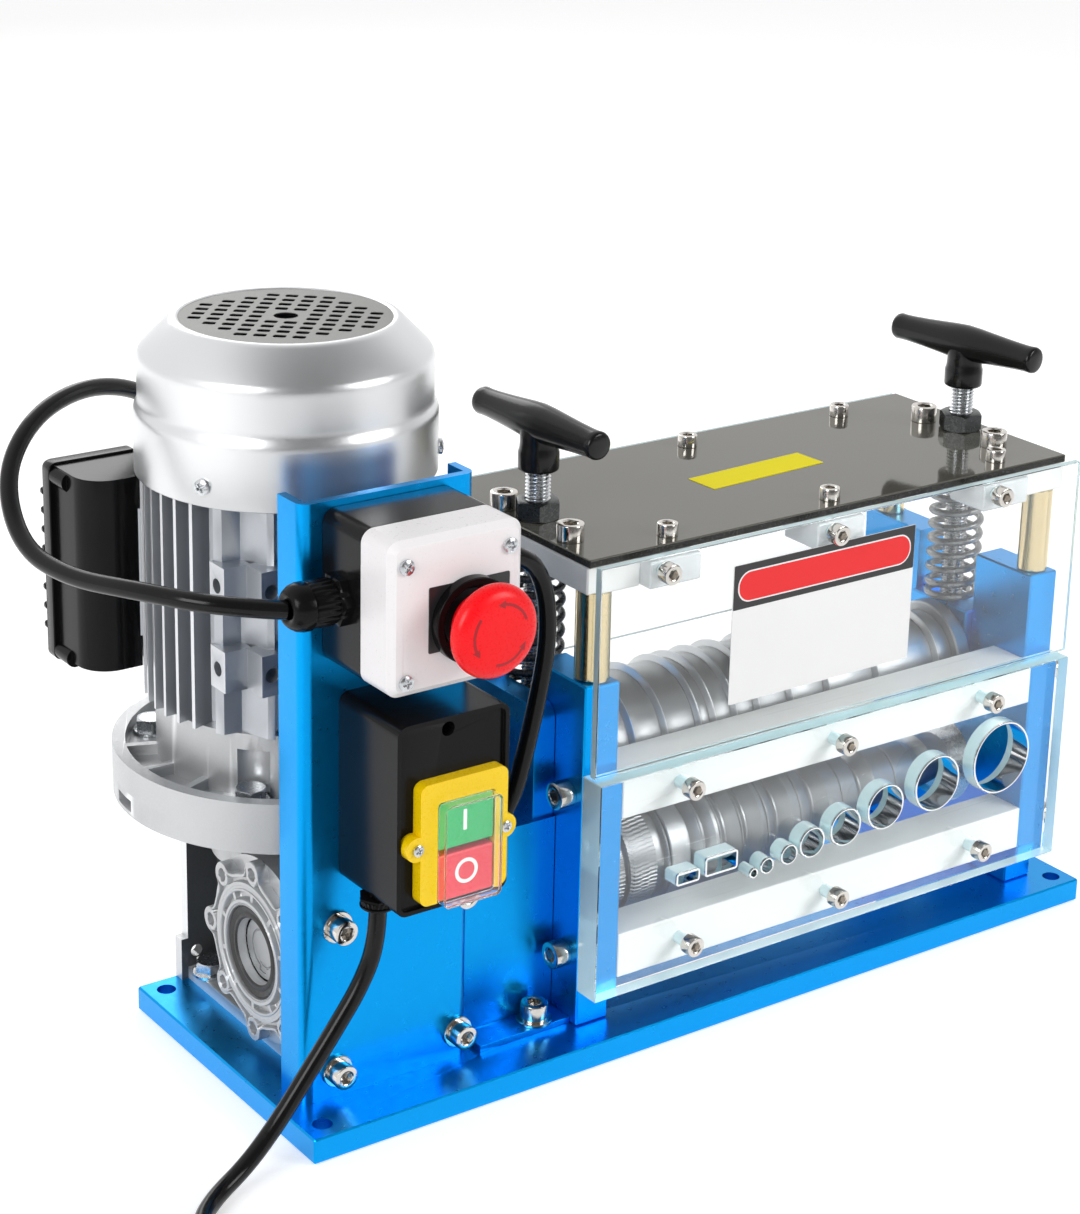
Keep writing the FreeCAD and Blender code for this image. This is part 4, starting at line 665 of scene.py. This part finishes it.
# ---- Depth screws: zinc plated M12 threads through the crossbars, a lock nut on each, coil springs
# around them that hold the sliding blocks down, and black T handles on top.
SCREW_X, SCREW_Z0, SCREW_Z1, PITCH = (-64.5, 198.5), 141.0, 270.0, 1.75


def threaded(radius, length, pitch, steps=24, per_turn=6):
    """Threaded rod: the radius falls and rises once per pitch, and the valley climbs once round."""
    rows = [(0.0, 0.0), (radius - 1.2, 0.0)]
    for z in np.arange(0.7, length - 0.7, pitch / per_turn):
        wave = (z / pitch - np.arange(steps) / steps) % 1.0
        rows.append((radius - 1.05 * np.clip(1.5 - 3.0 * np.abs(wave - 0.5), 0, 1), z))
    return around(rows + [(radius - 1.2, length), (0.0, length)], steps)


def hexed(across_flats, steps):
    """Radius per step of a hexagon, one corner on the first step."""
    turn = np.arange(steps) * 360.0 / steps % 60 - 30
    return across_flats / 2 / np.cos(np.radians(turn))


def nut(across_flats, height, bore, steps=48):
    """Hexagon nut with both faces turned back to a circle, so its corners are bevelled."""
    corner = hexed(across_flats, steps)
    rim = across_flats / 2 - 0.2
    fall = (corner - rim) * 0.6
    return around([(bore, 0), (rim, 0), (corner, fall), (corner, height - fall), (rim, height),
                   (bore, height)], steps, closed=True)


spring_grey = finish("spring_steel", (0.26, 0.265, 0.27), 0.34, metallic=0.85, drift=0.1, spread=0.1,
                     depth=0.08)
spring_black = finish("spring_black", (0.02, 0.02, 0.022), 0.28, drift=0.2, spread=0.1, depth=0.06)
handle_black = finish("handle_black", (0.004, 0.004, 0.0045), 0.2, drift=0.25, spread=0.05, depth=0.03,
                      grain=(1200, 1200, 1200), gloss=0.3)
COIL_R, coil_turn = 12.4, np.arange(0, 10.001, 1 / 32)
coil_rise = np.interp(coil_turn, [0, 0.9, 9.1, 10], [152.0, 155.5, 218.5, 222.0])
HANDLE_HALF, HANDLE_Z, HUB_Z0 = 43.5, 286.0, 264.0
bar_rows = [(0.0, 0.0), (5.2, 0.0), (6.2, 0.5), (6.6, 1.6), (6.45, 4.0), (6.55, 9.0), (7.1, 18.0),
            (7.9, 28.0), (8.6, 36.0), (9.0, HANDLE_HALF)]
bar_rows += [(r, 2 * HANDLE_HALF - h) for r, h in bar_rows[-2::-1]]
hub_rows = [(5.9, 0.0), (8.6, 0.0), (9.3, 0.5), (9.5, 1.4), (9.5, 8.5), (8.9, 10.5), (8.7, 14.0), (8.9, 19.0),
            (6.0, 26.0), (5.9, 4.0)]
for side, x, degrees, spring_finish in (("left", SCREW_X[0], 92.6, spring_black),
                                        ("right", SCREW_X[1], 98.5, spring_grey)):
    body = frame["nodes"][side + "_t_handle"]["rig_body"]
    turn = math.radians(degrees)
    along = (math.cos(turn), math.sin(turn), 0)
    rod = placed(threaded(6.0, SCREW_Z1 - SCREW_Z0, PITCH), (x, AXIS_Y, SCREW_Z0))
    assembled(side + "_depth_screw", [rod], [zinc_steel], body, [side + "_adjusting_screw"],
              sharp=60)
    start = (x - along[0] * HANDLE_HALF, AXIS_Y - along[1] * HANDLE_HALF, HANDLE_Z)
    assembled(side + "_handle", [placed(around(bar_rows, 48), start, along),
                                 placed(around(hub_rows, 48, closed=True), (x, AXIS_Y, HUB_Z0))],
              [handle_black], body, [side + "_t_handle"], sharp=50)
    path = np.column_stack([x + COIL_R * np.cos(coil_turn * 2 * math.pi),
                            AXIS_Y + COIL_R * np.sin(coil_turn * 2 * math.pi), coil_rise])
    spring = assembled(side + "_spring", [sweep(path, 1.8, 10)], [spring_finish],
                       replaces=["springs"] if side == "left" else [], sharp=60)
    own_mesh(spring)


# ---- Fasteners: nickel plated socket screws, zinc plated hexagon screws with washers, black lock nuts
# on the depth screws and pan head screws with a cross recess.
GUIDE_Y0, COVER_Y0, COVER_Y1 = -77.5, -73.5, 65.5
screw_nickel = finish("screw_nickel", (0.66, 0.63, 0.59), 0.16, metallic=1.0, drift=0.06, spread=0.06,
                      depth=0.02)
black_steel = finish("black_steel", (0.06, 0.064, 0.066), 0.3, metallic=0.9, drift=0.1, spread=0.08,
                     depth=0.04)


def cap_screw(at, out, thread, length, washer=0.0):
    """Socket head screw seated at a point: shank, rounded head and hexagonal pocket, on a plain washer."""
    head, high, key = thread * 1.62, thread * 2.0 + washer, hexed(thread * 1.55, 36)
    rows = [(0.0, -length), (thread - 0.5, -length), (thread - 0.15, 0.5 - length), (thread - 0.15, 0.0)]
    if washer:
        wide = thread * 2.1
        rows += [(wide - 0.2, 0.0), (wide, 0.2), (wide, washer - 0.3), (wide - 0.3, washer)]
    rows += [(head - 0.15, washer), (head, washer + 0.2), (head, high - 0.6), (head - 0.2, high - 0.2),
             (head - 0.6, high), (thread * 1.02, high), (thread * 0.95, high - 0.25), (key, high - 0.4),
             (key, washer + thread * 0.9), (0.0, washer + thread * 0.75)]
    return placed(around(rows, 36), at, out)


def hex_screw(at, out, thread, length, washer=1.6):
    """Hexagon head screw seated at a point, its head turned back to a circle on top, with its washer."""
    corner, rim = hexed(thread * 3.3, 36), thread * 1.65 - 0.2
    high = washer + thread * 1.35
    wide = thread * 2.15
    rows = [(0.0, -length), (thread - 0.2, -length), (thread - 0.2, 0.0), (wide - 0.2, 0.0), (wide, 0.2),
            (wide, washer - 0.2), (wide - 0.2, washer), (corner, washer),
            (corner, high - (corner - rim) * 0.6), (rim, high), (rim - 1.0, high - 0.25), (0.0, high - 0.25)]
    return placed(around(rows, 36), at, out)


def cross_screw(at, out, head, length, spin=0.0):
    """Pan head screw seated at a point; a cross with sloping floor is pressed into its dome."""
    steps, turn = 48, np.arange(48) * 2 * math.pi / 48
    rows = [(0.0, -length), (head * 0.5, -length), (head * 0.5, 0.0), (head * 0.93, 0.0), (head, head * 0.12)]
    for share in (0.97, 0.86, 0.7, 0.6, 0.52, 0.4, 0.28, 0.2, 0.1, 0.0):
        u, v = np.abs(share * np.cos(turn)), np.abs(share * np.sin(turn))
        inside = np.clip((0.15 - np.minimum(u, v)) / 0.05, 0, 1) * np.clip((0.62 - share) / 0.08, 0, 1)
        height = head * (0.66 * math.sqrt(1 - 0.62 * share ** 2) - 0.3 * inside)
        rows.append((share * head, height))
    return placed(around(rows, steps), at, out, spin)


UP, DOWN, LEFT, RIGHT, FORWARD, BACK = (0, 0, 1), (0, 0, -1), (-1, 0, 0), (1, 0, 0), (0, -1, 0), (0, 1, 0)
sockets = [cap_screw((x, y, TOP_Z), UP, 4.0, 14.0) for x, y in ((-70, 16), (-70, -36), (192, 17), (192, -34))]
sockets += [cap_screw((x, y, TOP_Z), UP, 3.0, 14.0)
            for x, y in ((-29, -54), (67, -54), (176, -52), (-29, 46), (61, 46), (160, 46))]
for z in (126.0, 46.0):
    sockets += [cap_screw((-79, -52, z), LEFT, 4.0, 30.0), cap_screw((212, -52, z), RIGHT, 4.0, 30.0)]
sockets += [cap_screw((x, COVER_Y0, 232.5), FORWARD, 3.0, 16.0) for x in (-44.5, 53.8, 158.0)]
sockets += [cap_screw((x, COVER_Y1, 232.5), BACK, 3.0, 16.0) for x in (-44.5, 53.8, 171.0)]
for places, z in (((-29, 63.3, 159), 126.5), ((-26, 63.4, 158), 46.5)):
    sockets += [cap_screw((x, GUIDE_Y0, z), FORWARD, 3.0, 26.0) for x in places]
sockets.append(cap_screw((-94.7, -51.6, 15.0), UP, 4.0, 12.0, 1.6))
sockets += [cap_screw((x, -55, z), FORWARD, 3.5, 12.0, 1.6) for x in (-203.0, -140.0) for z in (25.0, 95.0)]
assembled("socket_head_screws", sockets, [screw_nickel], replaces=["socket_screws"])
MOTOR = (-171.0, 40.0)
BOLT_REACH = 45.96
hexes = [hex_screw((MOTOR[0] + sx * BOLT_REACH, MOTOR[1] + sy * BOLT_REACH, 138.0), UP, 4.0, 16.0)
         for sx in (-1, 1) for sy in (-1, 1)]
hexes += [hex_screw((x, 64.0, 18.0), UP, 4.0, 14.0) for x in (-200.0, -142.0)]
hexes += [(*placed(nut(19.0, 9.0, 6.05), (x, AXIS_Y, TOP_Z)), 1) for x in SCREW_X]
assembled("hexagon_fasteners", hexes, [zinc_steel, black_steel],
          replaces=["hex_fasteners"])


# ---- Worm gearbox: die cast aluminium housing with foot, walls and motor flange, and a lobed
# cover on its free output side with a black shaft seal and the keyed end of the feed shaft.
cast_alloy = finish("cast_alloy", (0.50, 0.51, 0.52), 0.42, metallic=0.7, drift=0.08, spread=0.1,
                    grain=(1100, 1100, 1100), depth=0.16, wear=(0.82, 0.83, 0.84))
# The second cast finish is painted shade: a darkened copy of the cast metal for the housing faces that lie in
# shade behind the output cover.
cast_painted_shade = finish("cast_painted_shade", (0.10, 0.105, 0.11), 0.5, metallic=0.6, drift=0.2, spread=0.1, depth=0.2)
rubber = finish("seal_rubber", (0.014, 0.014, 0.015), 0.5, drift=0.3, spread=0.1, depth=0.08)


def painted_shade_faces(normal, centre):
    """Painted shade, a darkened copy of the cast finish, on the faces behind the output cover that lie in
    shade; cast finish elsewhere.
    """
    behind_cover = normal.y < -0.5 or normal.x < -0.5 and centre.x > -204
    return 1 if centre.z < 119 and centre.y > 0 and behind_cover else 0


machined("gearbox_housing", [cast_alloy, cast_painted_shade], 0.5, painted_shade_faces)
machined("motor_flange", [cast_alloy], 0.35)
LOBES, LOBE_AT, COVER_X, COVER_DEEP = 8, 38.0, -210.0, 5.5
BORE, STEPS = 15.2, 320
turn = np.arange(STEPS) * 2 * math.pi / STEPS
swing = np.abs((turn * LOBES / (2 * math.pi) + 0.5) % 1.0 - 0.5) * 2 * math.pi / LOBES
lobe_edge = LOBE_AT * np.cos(swing) + np.sqrt(np.maximum(6.0 ** 2 - (LOBE_AT * np.sin(swing)) ** 2, 0))
lobe_edge = np.where(LOBE_AT * np.sin(swing) < 5.99, lobe_edge, 0)
valley_edge = 35.6 + 7.5 * np.exp(-(swing / 0.14) ** 2)
OUTLINE = np.maximum(valley_edge, lobe_edge)


def step_up(value, low, high):
    """Share from 0 below low to 1 above high, with eased ends."""
    share = np.clip((value - low) / (high - low), 0, 1)
    return share * share * (3 - 2 * share)


def band(value, low, high, soft=0.5):
    """1 between low and high, falling to 0 within soft outside them."""
    return step_up(value, low - soft, low) * (1 - step_up(value, high, high + soft))


def cover_height(radius):
    """Height of the cover's face: full height, less pockets between the round ribs, the pockets between
    the lobes inside their rim, and the screw holes."""
    to_lobe = np.sqrt(radius ** 2 + LOBE_AT ** 2 - 2 * radius * LOBE_AT * np.cos(swing))
    arc = np.abs((turn * 10 / (2 * math.pi)) % 1.0 - 0.5) / 10 * 2 * math.pi * radius
    rim = OUTLINE - radius
    inner = band(radius, 24.9, 27.3) * step_up(arc, 1.0, 1.7)
    outer = step_up(rim, 1.3, 2.0) * step_up(radius, 32.0, 32.6) * step_up(to_lobe, 5.1, 5.8)
    gap = band(radius, 29.2, 30.2, 0.4) * 0.25
    hole = 1 - step_up(to_lobe, 2.6, 3.1)
    raised = 0.9 * band(radius, 22.8, 24.0, 0.5) + 0.5 * band(radius, 28.2, 28.9, 0.4)
    return COVER_DEEP - 2.6 * inner - 2.3 * outer - gap - 3.4 * hole + raised


RIB_R = 32.4
cover_rows = [(BORE, 0.0), (OUTLINE - 0.3, 0.0), (OUTLINE, 0.4), (OUTLINE, COVER_DEEP - 0.5),
              (OUTLINE - 0.35, COVER_DEEP)]
for share in np.linspace(1.0, 0.0, 34)[1:-1]:
    radius = RIB_R + (OUTLINE - 0.7 - RIB_R) * share
    cover_rows.append((radius, cover_height(radius)))
for radius in np.concatenate([np.linspace(32.2, 22.2, 44), [21.6]]):
    cover_rows.append((radius, cover_height(np.full(STEPS, radius)) if radius > 22 else COVER_DEEP + 0.6))
cover_rows += [(21.3, COVER_DEEP - 1.2), (BORE, COVER_DEEP - 1.2)]
output_cover = placed(around(cover_rows, STEPS, closed=True), (COVER_X, AXIS_Y, FEED_Z), LEFT)
seal_rows = [(BORE + 0.1, 3.0), (21.2, 3.0), (21.2, 5.0), (20.4, 5.4), (19.2, 5.0), (18.0, 4.6), (17.0, 5.2),
             (16.0, 5.2), (BORE + 0.1, 4.4)]
seal = placed(around(seal_rows, 96, closed=True), (COVER_X, AXIS_Y, FEED_Z), LEFT)
assembled("lobed_output_cover", [output_cover, (*seal, 1)], [cast_alloy, rubber],
          replaces=["gearbox_output_cover"], sharp=32)
machined("worm_wheel", [dark_steel], 0.3)
key_turn = np.abs((turn + math.pi / 2 + math.pi) % (2 * math.pi) - math.pi)
end_rows = [(0.0, -0.6), (14.4, -0.6), (14.4, 0.1), (14.1, 0.4)]
for radius in (13.9, 11.8, 11.4, 9.6, 9.4, 9.2, 9.0, 8.8, 8.4, 7.4, 7.1, 3.0, 0.0):
    notch = (key_turn * radius < 2.6) & (7.2 < radius < 11.6)
    height = 0.15 if radius < 8.6 else 0.4 if radius > 9.3 else -0.3
    end_rows.append((radius, np.where(notch, -0.55, height)))
assembled("shaft_end", [placed(around(end_rows, STEPS), (-209.6, AXIS_Y, FEED_Z), LEFT)], [dark_steel],
          FEED_BODY)


# ---- Motor: finned cast body with drilled foot pads, sheet steel fan cowl with a punched grille,
# and a black fan under it. The grille is a painted sheet on a black one, and the black sheet is painted shade
# on the hole walls, so its holes look deep.
silver_paint = finish("silver_paint", (0.74, 0.75, 0.76), 0.34, metallic=0.95, drift=0.03, spread=0.05,
                      grain=(1800, 1800, 1800), depth=0.03)
grille_paint = finish("grille_paint", (0.25, 0.25, 0.24), 0.5, metallic=0.8, drift=0.04, spread=0.06,
                      grain=(1800, 1800, 1800), depth=0.03)
fin_paint = finish("fin_paint", (0.44, 0.46, 0.49), 0.36, metallic=0.8, drift=0.06, spread=0.08,
                   grain=(1300, 1300, 1300), depth=0.06, wear=(0.84, 0.85, 0.87))
machined("motor_body", [fin_paint], 0.3)
COWL_R = 67.2
profile = [(65.6, 272.0), (66.9, 272.0), (COWL_R, 272.4), (COWL_R, 298.0), (67.15, 300.0), (66.6, 301.8),
           (65.8, 303.2), (65.35, 304.8), (65.3, 307.0), (65.3, 321.0), (65.3, 323.4), (64.9, 325.4),
           (63.9, 327.2), (51.6, 339.6), (50.6, 340.5), (49.6, 341.0), (47.6, 341.0), (47.0, 340.6)]
inside = [(max(r - 1.5, 45.4), min(z - 0.5, 339.4)) for r, z in profile[3:-2]][::-1]
cowl_shell = around(profile + [(46.9, 339.3)] + inside + [(65.6, 273.0)], 144, closed=True)
GRILLE_ROWS = {0.5: 5, 1.5: 5, 2.5: 4, 3.5: 3, 4.5: 2}
HOLE_PITCH, HOLE_WIDE, HOLE_HIGH, GRILLE_TURN = (8.5, 7.5), 5.8, 4.4, math.radians(-42)


def grille(thick):
    """Round sheet with rows of punched holes and one round hole in the middle."""
    plate = bmesh.new()
    loops = [[(r * math.cos(a), r * math.sin(a)) for a in np.arange(steps) * 2 * math.pi / steps]
             for r, steps in ((46.95, 144), (5.4, 24))]
    for row, count in GRILLE_ROWS.items():
        for column in np.arange(count) + 0.5:
            if row < 1 and column < 1:
                continue
            for sx in (-1, 1):
                for sy in (-1, 1):
                    middle = np.array([sx * column * HOLE_PITCH[0], sy * row * HOLE_PITCH[1]])
                    loops.append(outline_box(HOLE_WIDE, HOLE_HIGH, 1.3, 4) + middle)
    rim = []
    for loop in loops:
        points = [plate.verts.new((*p, 0.0)) for p in loop]
        rim += [plate.edges.new((points[i - 1], points[i])) for i in range(len(points))]
    bmesh.ops.triangle_fill(plate, edges=rim, use_beauty=True, normal=(0, 0, 1))
    walls = bmesh.ops.extrude_face_region(plate, geom=list(plate.faces), use_keep_orig=True)["geom"]
    lowered = [v for v in walls if isinstance(v, bmesh.types.BMVert)]
    bmesh.ops.translate(plate, vec=(0, 0, -thick), verts=lowered)
    plate.verts.index_update()
    points = np.array([v.co[:] for v in plate.verts])
    faces = [[v.index for v in face.verts] for face in plate.faces]
    plate.free()
    return points, faces


# The grille's lower black sheet is painted shade: black hole walls in place of the shade inside the cowl.
assembled("fan_cowl", [placed(cowl_shell, (*MOTOR, 0.0)),
                       (*placed(grille(0.3), (*MOTOR, 340.5), spin=GRILLE_TURN), 1),
                       (*placed(grille(0.8), (*MOTOR, 340.2), spin=GRILLE_TURN), 2)],
          [silver_paint, grille_paint, black_plastic], replaces=["motor_cowl"])
machined("cooling_fan", [black_plastic], 0.3)


# ---- Terminal box: deep black plastic box with rounded corners at the motor's rear left, closed at
# the back by a ribbed lid with a screw in each corner.
TERMINAL_MIDDLE, TERMINAL_BACK, EAR_X, EAR_Z = (-236.0, 224.0), 98.5, (-254.0, -218.5), (182.0, 265.0)
machined("terminal_box_body", [black_plastic], 0.8)
lid = layered(outline_box(45, 94, 4), [(0, 0.4), (0.4, 0), (6.6, 0), (8.5, 0.9), (9.0, 2.0)])
rib = layered(outline_box(44.6, 3.4, 1.2, 4), [(0, 0), (1.9, 0.1), (2.3, 0.6)])
lid_parts = [placed(lid, (TERMINAL_MIDDLE[0], TERMINAL_BACK, TERMINAL_MIDDLE[1]), BACK)]
lid_parts += [placed(rib, (TERMINAL_MIDDLE[0], TERMINAL_BACK + 8.2, 192.0 + 9.1 * i), BACK) for i in range(8)]
assembled("terminal_lid", lid_parts, [black_plastic], replaces=["terminal_box_lid"])


# ---- Pan head screws of the cowl, terminal lid, stop station and switch frame.
STATION_FACE, BEZEL_FACE = -107.0, -105.0
crosses = []
for degrees in (208.0, 328.0, 88.0):
    out = (math.cos(math.radians(degrees)), math.sin(math.radians(degrees)), 0.0)
    at = (MOTOR[0] + out[0] * COWL_R, MOTOR[1] + out[1] * COWL_R, 281.0)
    crosses.append(cross_screw(at, out, 3.6, 6.0, 0.5))
for x, spin in ((-202.5, 0.35), (-152.5, 0.8)):
    for z in (226.0, 275.5):
        crosses.append(cross_screw((x, STATION_FACE, z), FORWARD, 3.4, 16.0, spin + z))
crosses += [cross_screw((x, BEZEL_FACE, 149.0), FORWARD, 2.6, 9.0, 0.4) for x in (-194.5, -150.5)]
crosses += [cross_screw((x, TERMINAL_BACK + 8.9, z), BACK, 2.8, 13.0, x) for x in EAR_X for z in EAR_Z]
assembled("cross_recess_screws", crosses, [zinc_steel],
          replaces=["cross_head_screws"])


# ---- Cable glands: black nylon, with a hexagonal seat, a ribbed body and a domed cap nut.
def gland(at, out, length, radius):
    """Gland round a cable of 8 mm: seat, body with ribs and a domed cap that ends in a rounded lip."""
    ribs = np.where(np.arange(96) % 4 < 2, 0.0, -0.35)
    seat = hexed(radius * 1.9, 96) * 0.99
    rows = [(4.05, 0.0), (seat, 0.0), (seat, length * 0.16), (radius * 0.9, length * 0.18),
            (radius * 0.9, length * 0.22), (radius * 0.97 + ribs, length * 0.24),
            (radius * 0.94 + ribs, length * 0.6), (radius * 0.86, length * 0.63),
            (radius * 0.99, length * 0.66), (radius * 0.99, length * 0.76), (radius * 0.93, length * 0.86),
            (radius * 0.8, length * 0.94), (radius * 0.68, length * 0.99), (radius * 0.55, length),
            (4.3, length * 0.97), (4.05, length * 0.9)]
    return placed(around(rows, 96, closed=True), at, out)


assembled("nylon_glands", [
    gland((-210.0, -70.0, 252.0), LEFT, 26.0, 10.5), gland((-145.0, -68.0, 256.0), RIGHT, 12.0, 9.0),
    gland((-146.5, -66.0, 125.0), RIGHT, 8.0, 8.0), gland((-196.0, -77.0, 117.5), DOWN, 6.0, 8.0),
    gland((-226.0, TERMINAL_BACK + 9.0, 200.0), BACK, 22.0, 9.5),
], [black_plastic], replaces=["cable_glands"], sharp=40)


# ---- Stop station: black base, bevelled white cover, a black square behind the collar and a red
# mushroom head with three turn arrows.
white_plastic = finish("white_plastic", (0.88, 0.86, 0.87), 0.32, drift=0.02, spread=0.06, depth=0.04)
red_plastic = finish("red_plastic", (0.93, 0.003, 0.008), 0.3, drift=0.04, spread=0.06, depth=0.03,
                     gloss=0.3)
arrow_red = finish("arrow_red", (0.38, 0.0, 0.006), 0.4, drift=0.05, spread=0.05, depth=0.02)
STOP_X, STOP_Z, CAP_BACK = -172.0, 248.0, -112.6
machined("estop_base", [black_plastic], 0.8)
machined("estop_cover", [white_plastic], 1.2)
machined("estop_barrel", [black_plastic], 0.5)
legend = placed(layered(outline_box(39.2, 28.4, 0.8), [(0, 0), (0.3, 0), (0.4, 0.1)]),
                (STOP_X, STATION_FACE, 250.3), FORWARD)
assembled("legend_square", [legend], [card_black])
mushroom_rows = [(5.06, 0.0), (12.2, 0.0), (12.6, 0.3), (13.6, 2.6), (15.2, 5.4), (16.0, 7.0), (16.5, 8.2),
                 (18.6, 9.2), (19.7, 10.2), (20.0, 11.4), (20.0, 12.8), (19.6, 14.2), (18.6, 15.6),
                 (17.0, 16.7), (15.0, 17.4), (10.0, 18.0), (0.0, 18.3)]
mushroom = [placed(around(mushroom_rows, 96), (STOP_X, CAP_BACK, STOP_Z), FORWARD)]


def arrow(start):
    """Bent arrow on the cap's face: a curved bar over 62 degrees and a triangular head."""
    sweep_of, tip = np.radians(np.linspace(start, start + 62, 16)), np.radians(start + 78)
    inner, outer = 12.3, 13.5
    ring = np.concatenate([np.column_stack([outer * np.cos(sweep_of), outer * np.sin(sweep_of)]),
                           [(14.6 * math.cos(sweep_of[-1]), 14.6 * math.sin(sweep_of[-1])),
                            (12.9 * math.cos(tip), 12.9 * math.sin(tip)),
                            (11.2 * math.cos(sweep_of[-1]), 11.2 * math.sin(sweep_of[-1]))],
                           np.column_stack([inner * np.cos(sweep_of), inner * np.sin(sweep_of)])[::-1]])
    fall = 17.98 - np.maximum(0, np.hypot(*ring.T) - 10.0) * 0.13
    levels = np.array([np.column_stack([ring, fall - 0.6]), np.column_stack([ring, fall + 0.12])])
    return joined(levels, across=True, caps=True)


for start in (20, 140, 260):
    mushroom.append((*placed(arrow(start), (STOP_X, CAP_BACK, STOP_Z), FORWARD), 1))
assembled("mushroom_head", mushroom, [red_plastic, arrow_red],
          frame["nodes"]["estop_mushroom"]["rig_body"], ["estop_mushroom"], sharp=50)


# ---- Switch: black box with a raised rim, yellow bezel with two ears, green and red push buttons
# with the usual line and circle, and a clear splash cover.
yellow_plastic = finish("yellow_plastic", (0.95, 0.64, 0.0), 0.3, drift=0.03, spread=0.06, depth=0.04)
green_plastic = finish("green_plastic", (0.0, 0.42, 0.12), 0.3, drift=0.04, spread=0.06, depth=0.03)
button_red = finish("button_red", (0.74, 0.03, 0.06), 0.3, drift=0.04, spread=0.06, depth=0.03)
clear_window = clear("clear_window", (0.97, 0.97, 0.96), 0.06, (0.9, 0.9, 0.9))
machined("switch_box", [black_plastic], 0.9)
machined("switch_frame", [yellow_plastic], 0.7)
machined("switch_window", [clear_window], 0.4)
machined("start_button", [green_plastic], 0.5)
machined("stop_button", [button_red], 0.5)
line_mark = placed(layered(outline_box(1.7, 9.4, 0.4, 4), [(-0.3, 0), (0.12, 0)]),
                   (-171.0, -104.5, 157.2), FORWARD)
ring_mark = placed(around([(4.1, -0.3), (5.7, -0.3), (5.7, 0.12), (4.1, 0.12)], 56, closed=True),
                   (-170.0, -104.5, 133.6), FORWARD)
for mark_name, mark, node in (("start_line", line_mark, "start_button"),
                              ("stop_ring", ring_mark, "stop_button")):
    assembled(mark_name, [mark], [white_card], frame["nodes"][node]["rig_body"])


# ---- Parts hidden inside the machine keep their CAD shape and get the finish of their metal.
bronze = finish("bronze", (0.52, 0.33, 0.13), 0.3, metallic=1.0, drift=0.08, spread=0.08, depth=0.05)
winding = finish("winding_core", (0.33, 0.14, 0.06), 0.45, metallic=0.4, drift=0.2, spread=0.1,
                 grain=(300, 300, 4000), depth=0.3)
for node, inner_finish in (("ball_bearings", zinc_steel), ("blade_bushes", bronze), ("stator", winding),
                           ("rotor_core", dark_steel), ("motor_shaft_worm", zinc_steel),
                           ("estop_plunger", black_plastic)):
    for slot in frame["nodes"][node].material_slots:
        slot.material = inner_finish
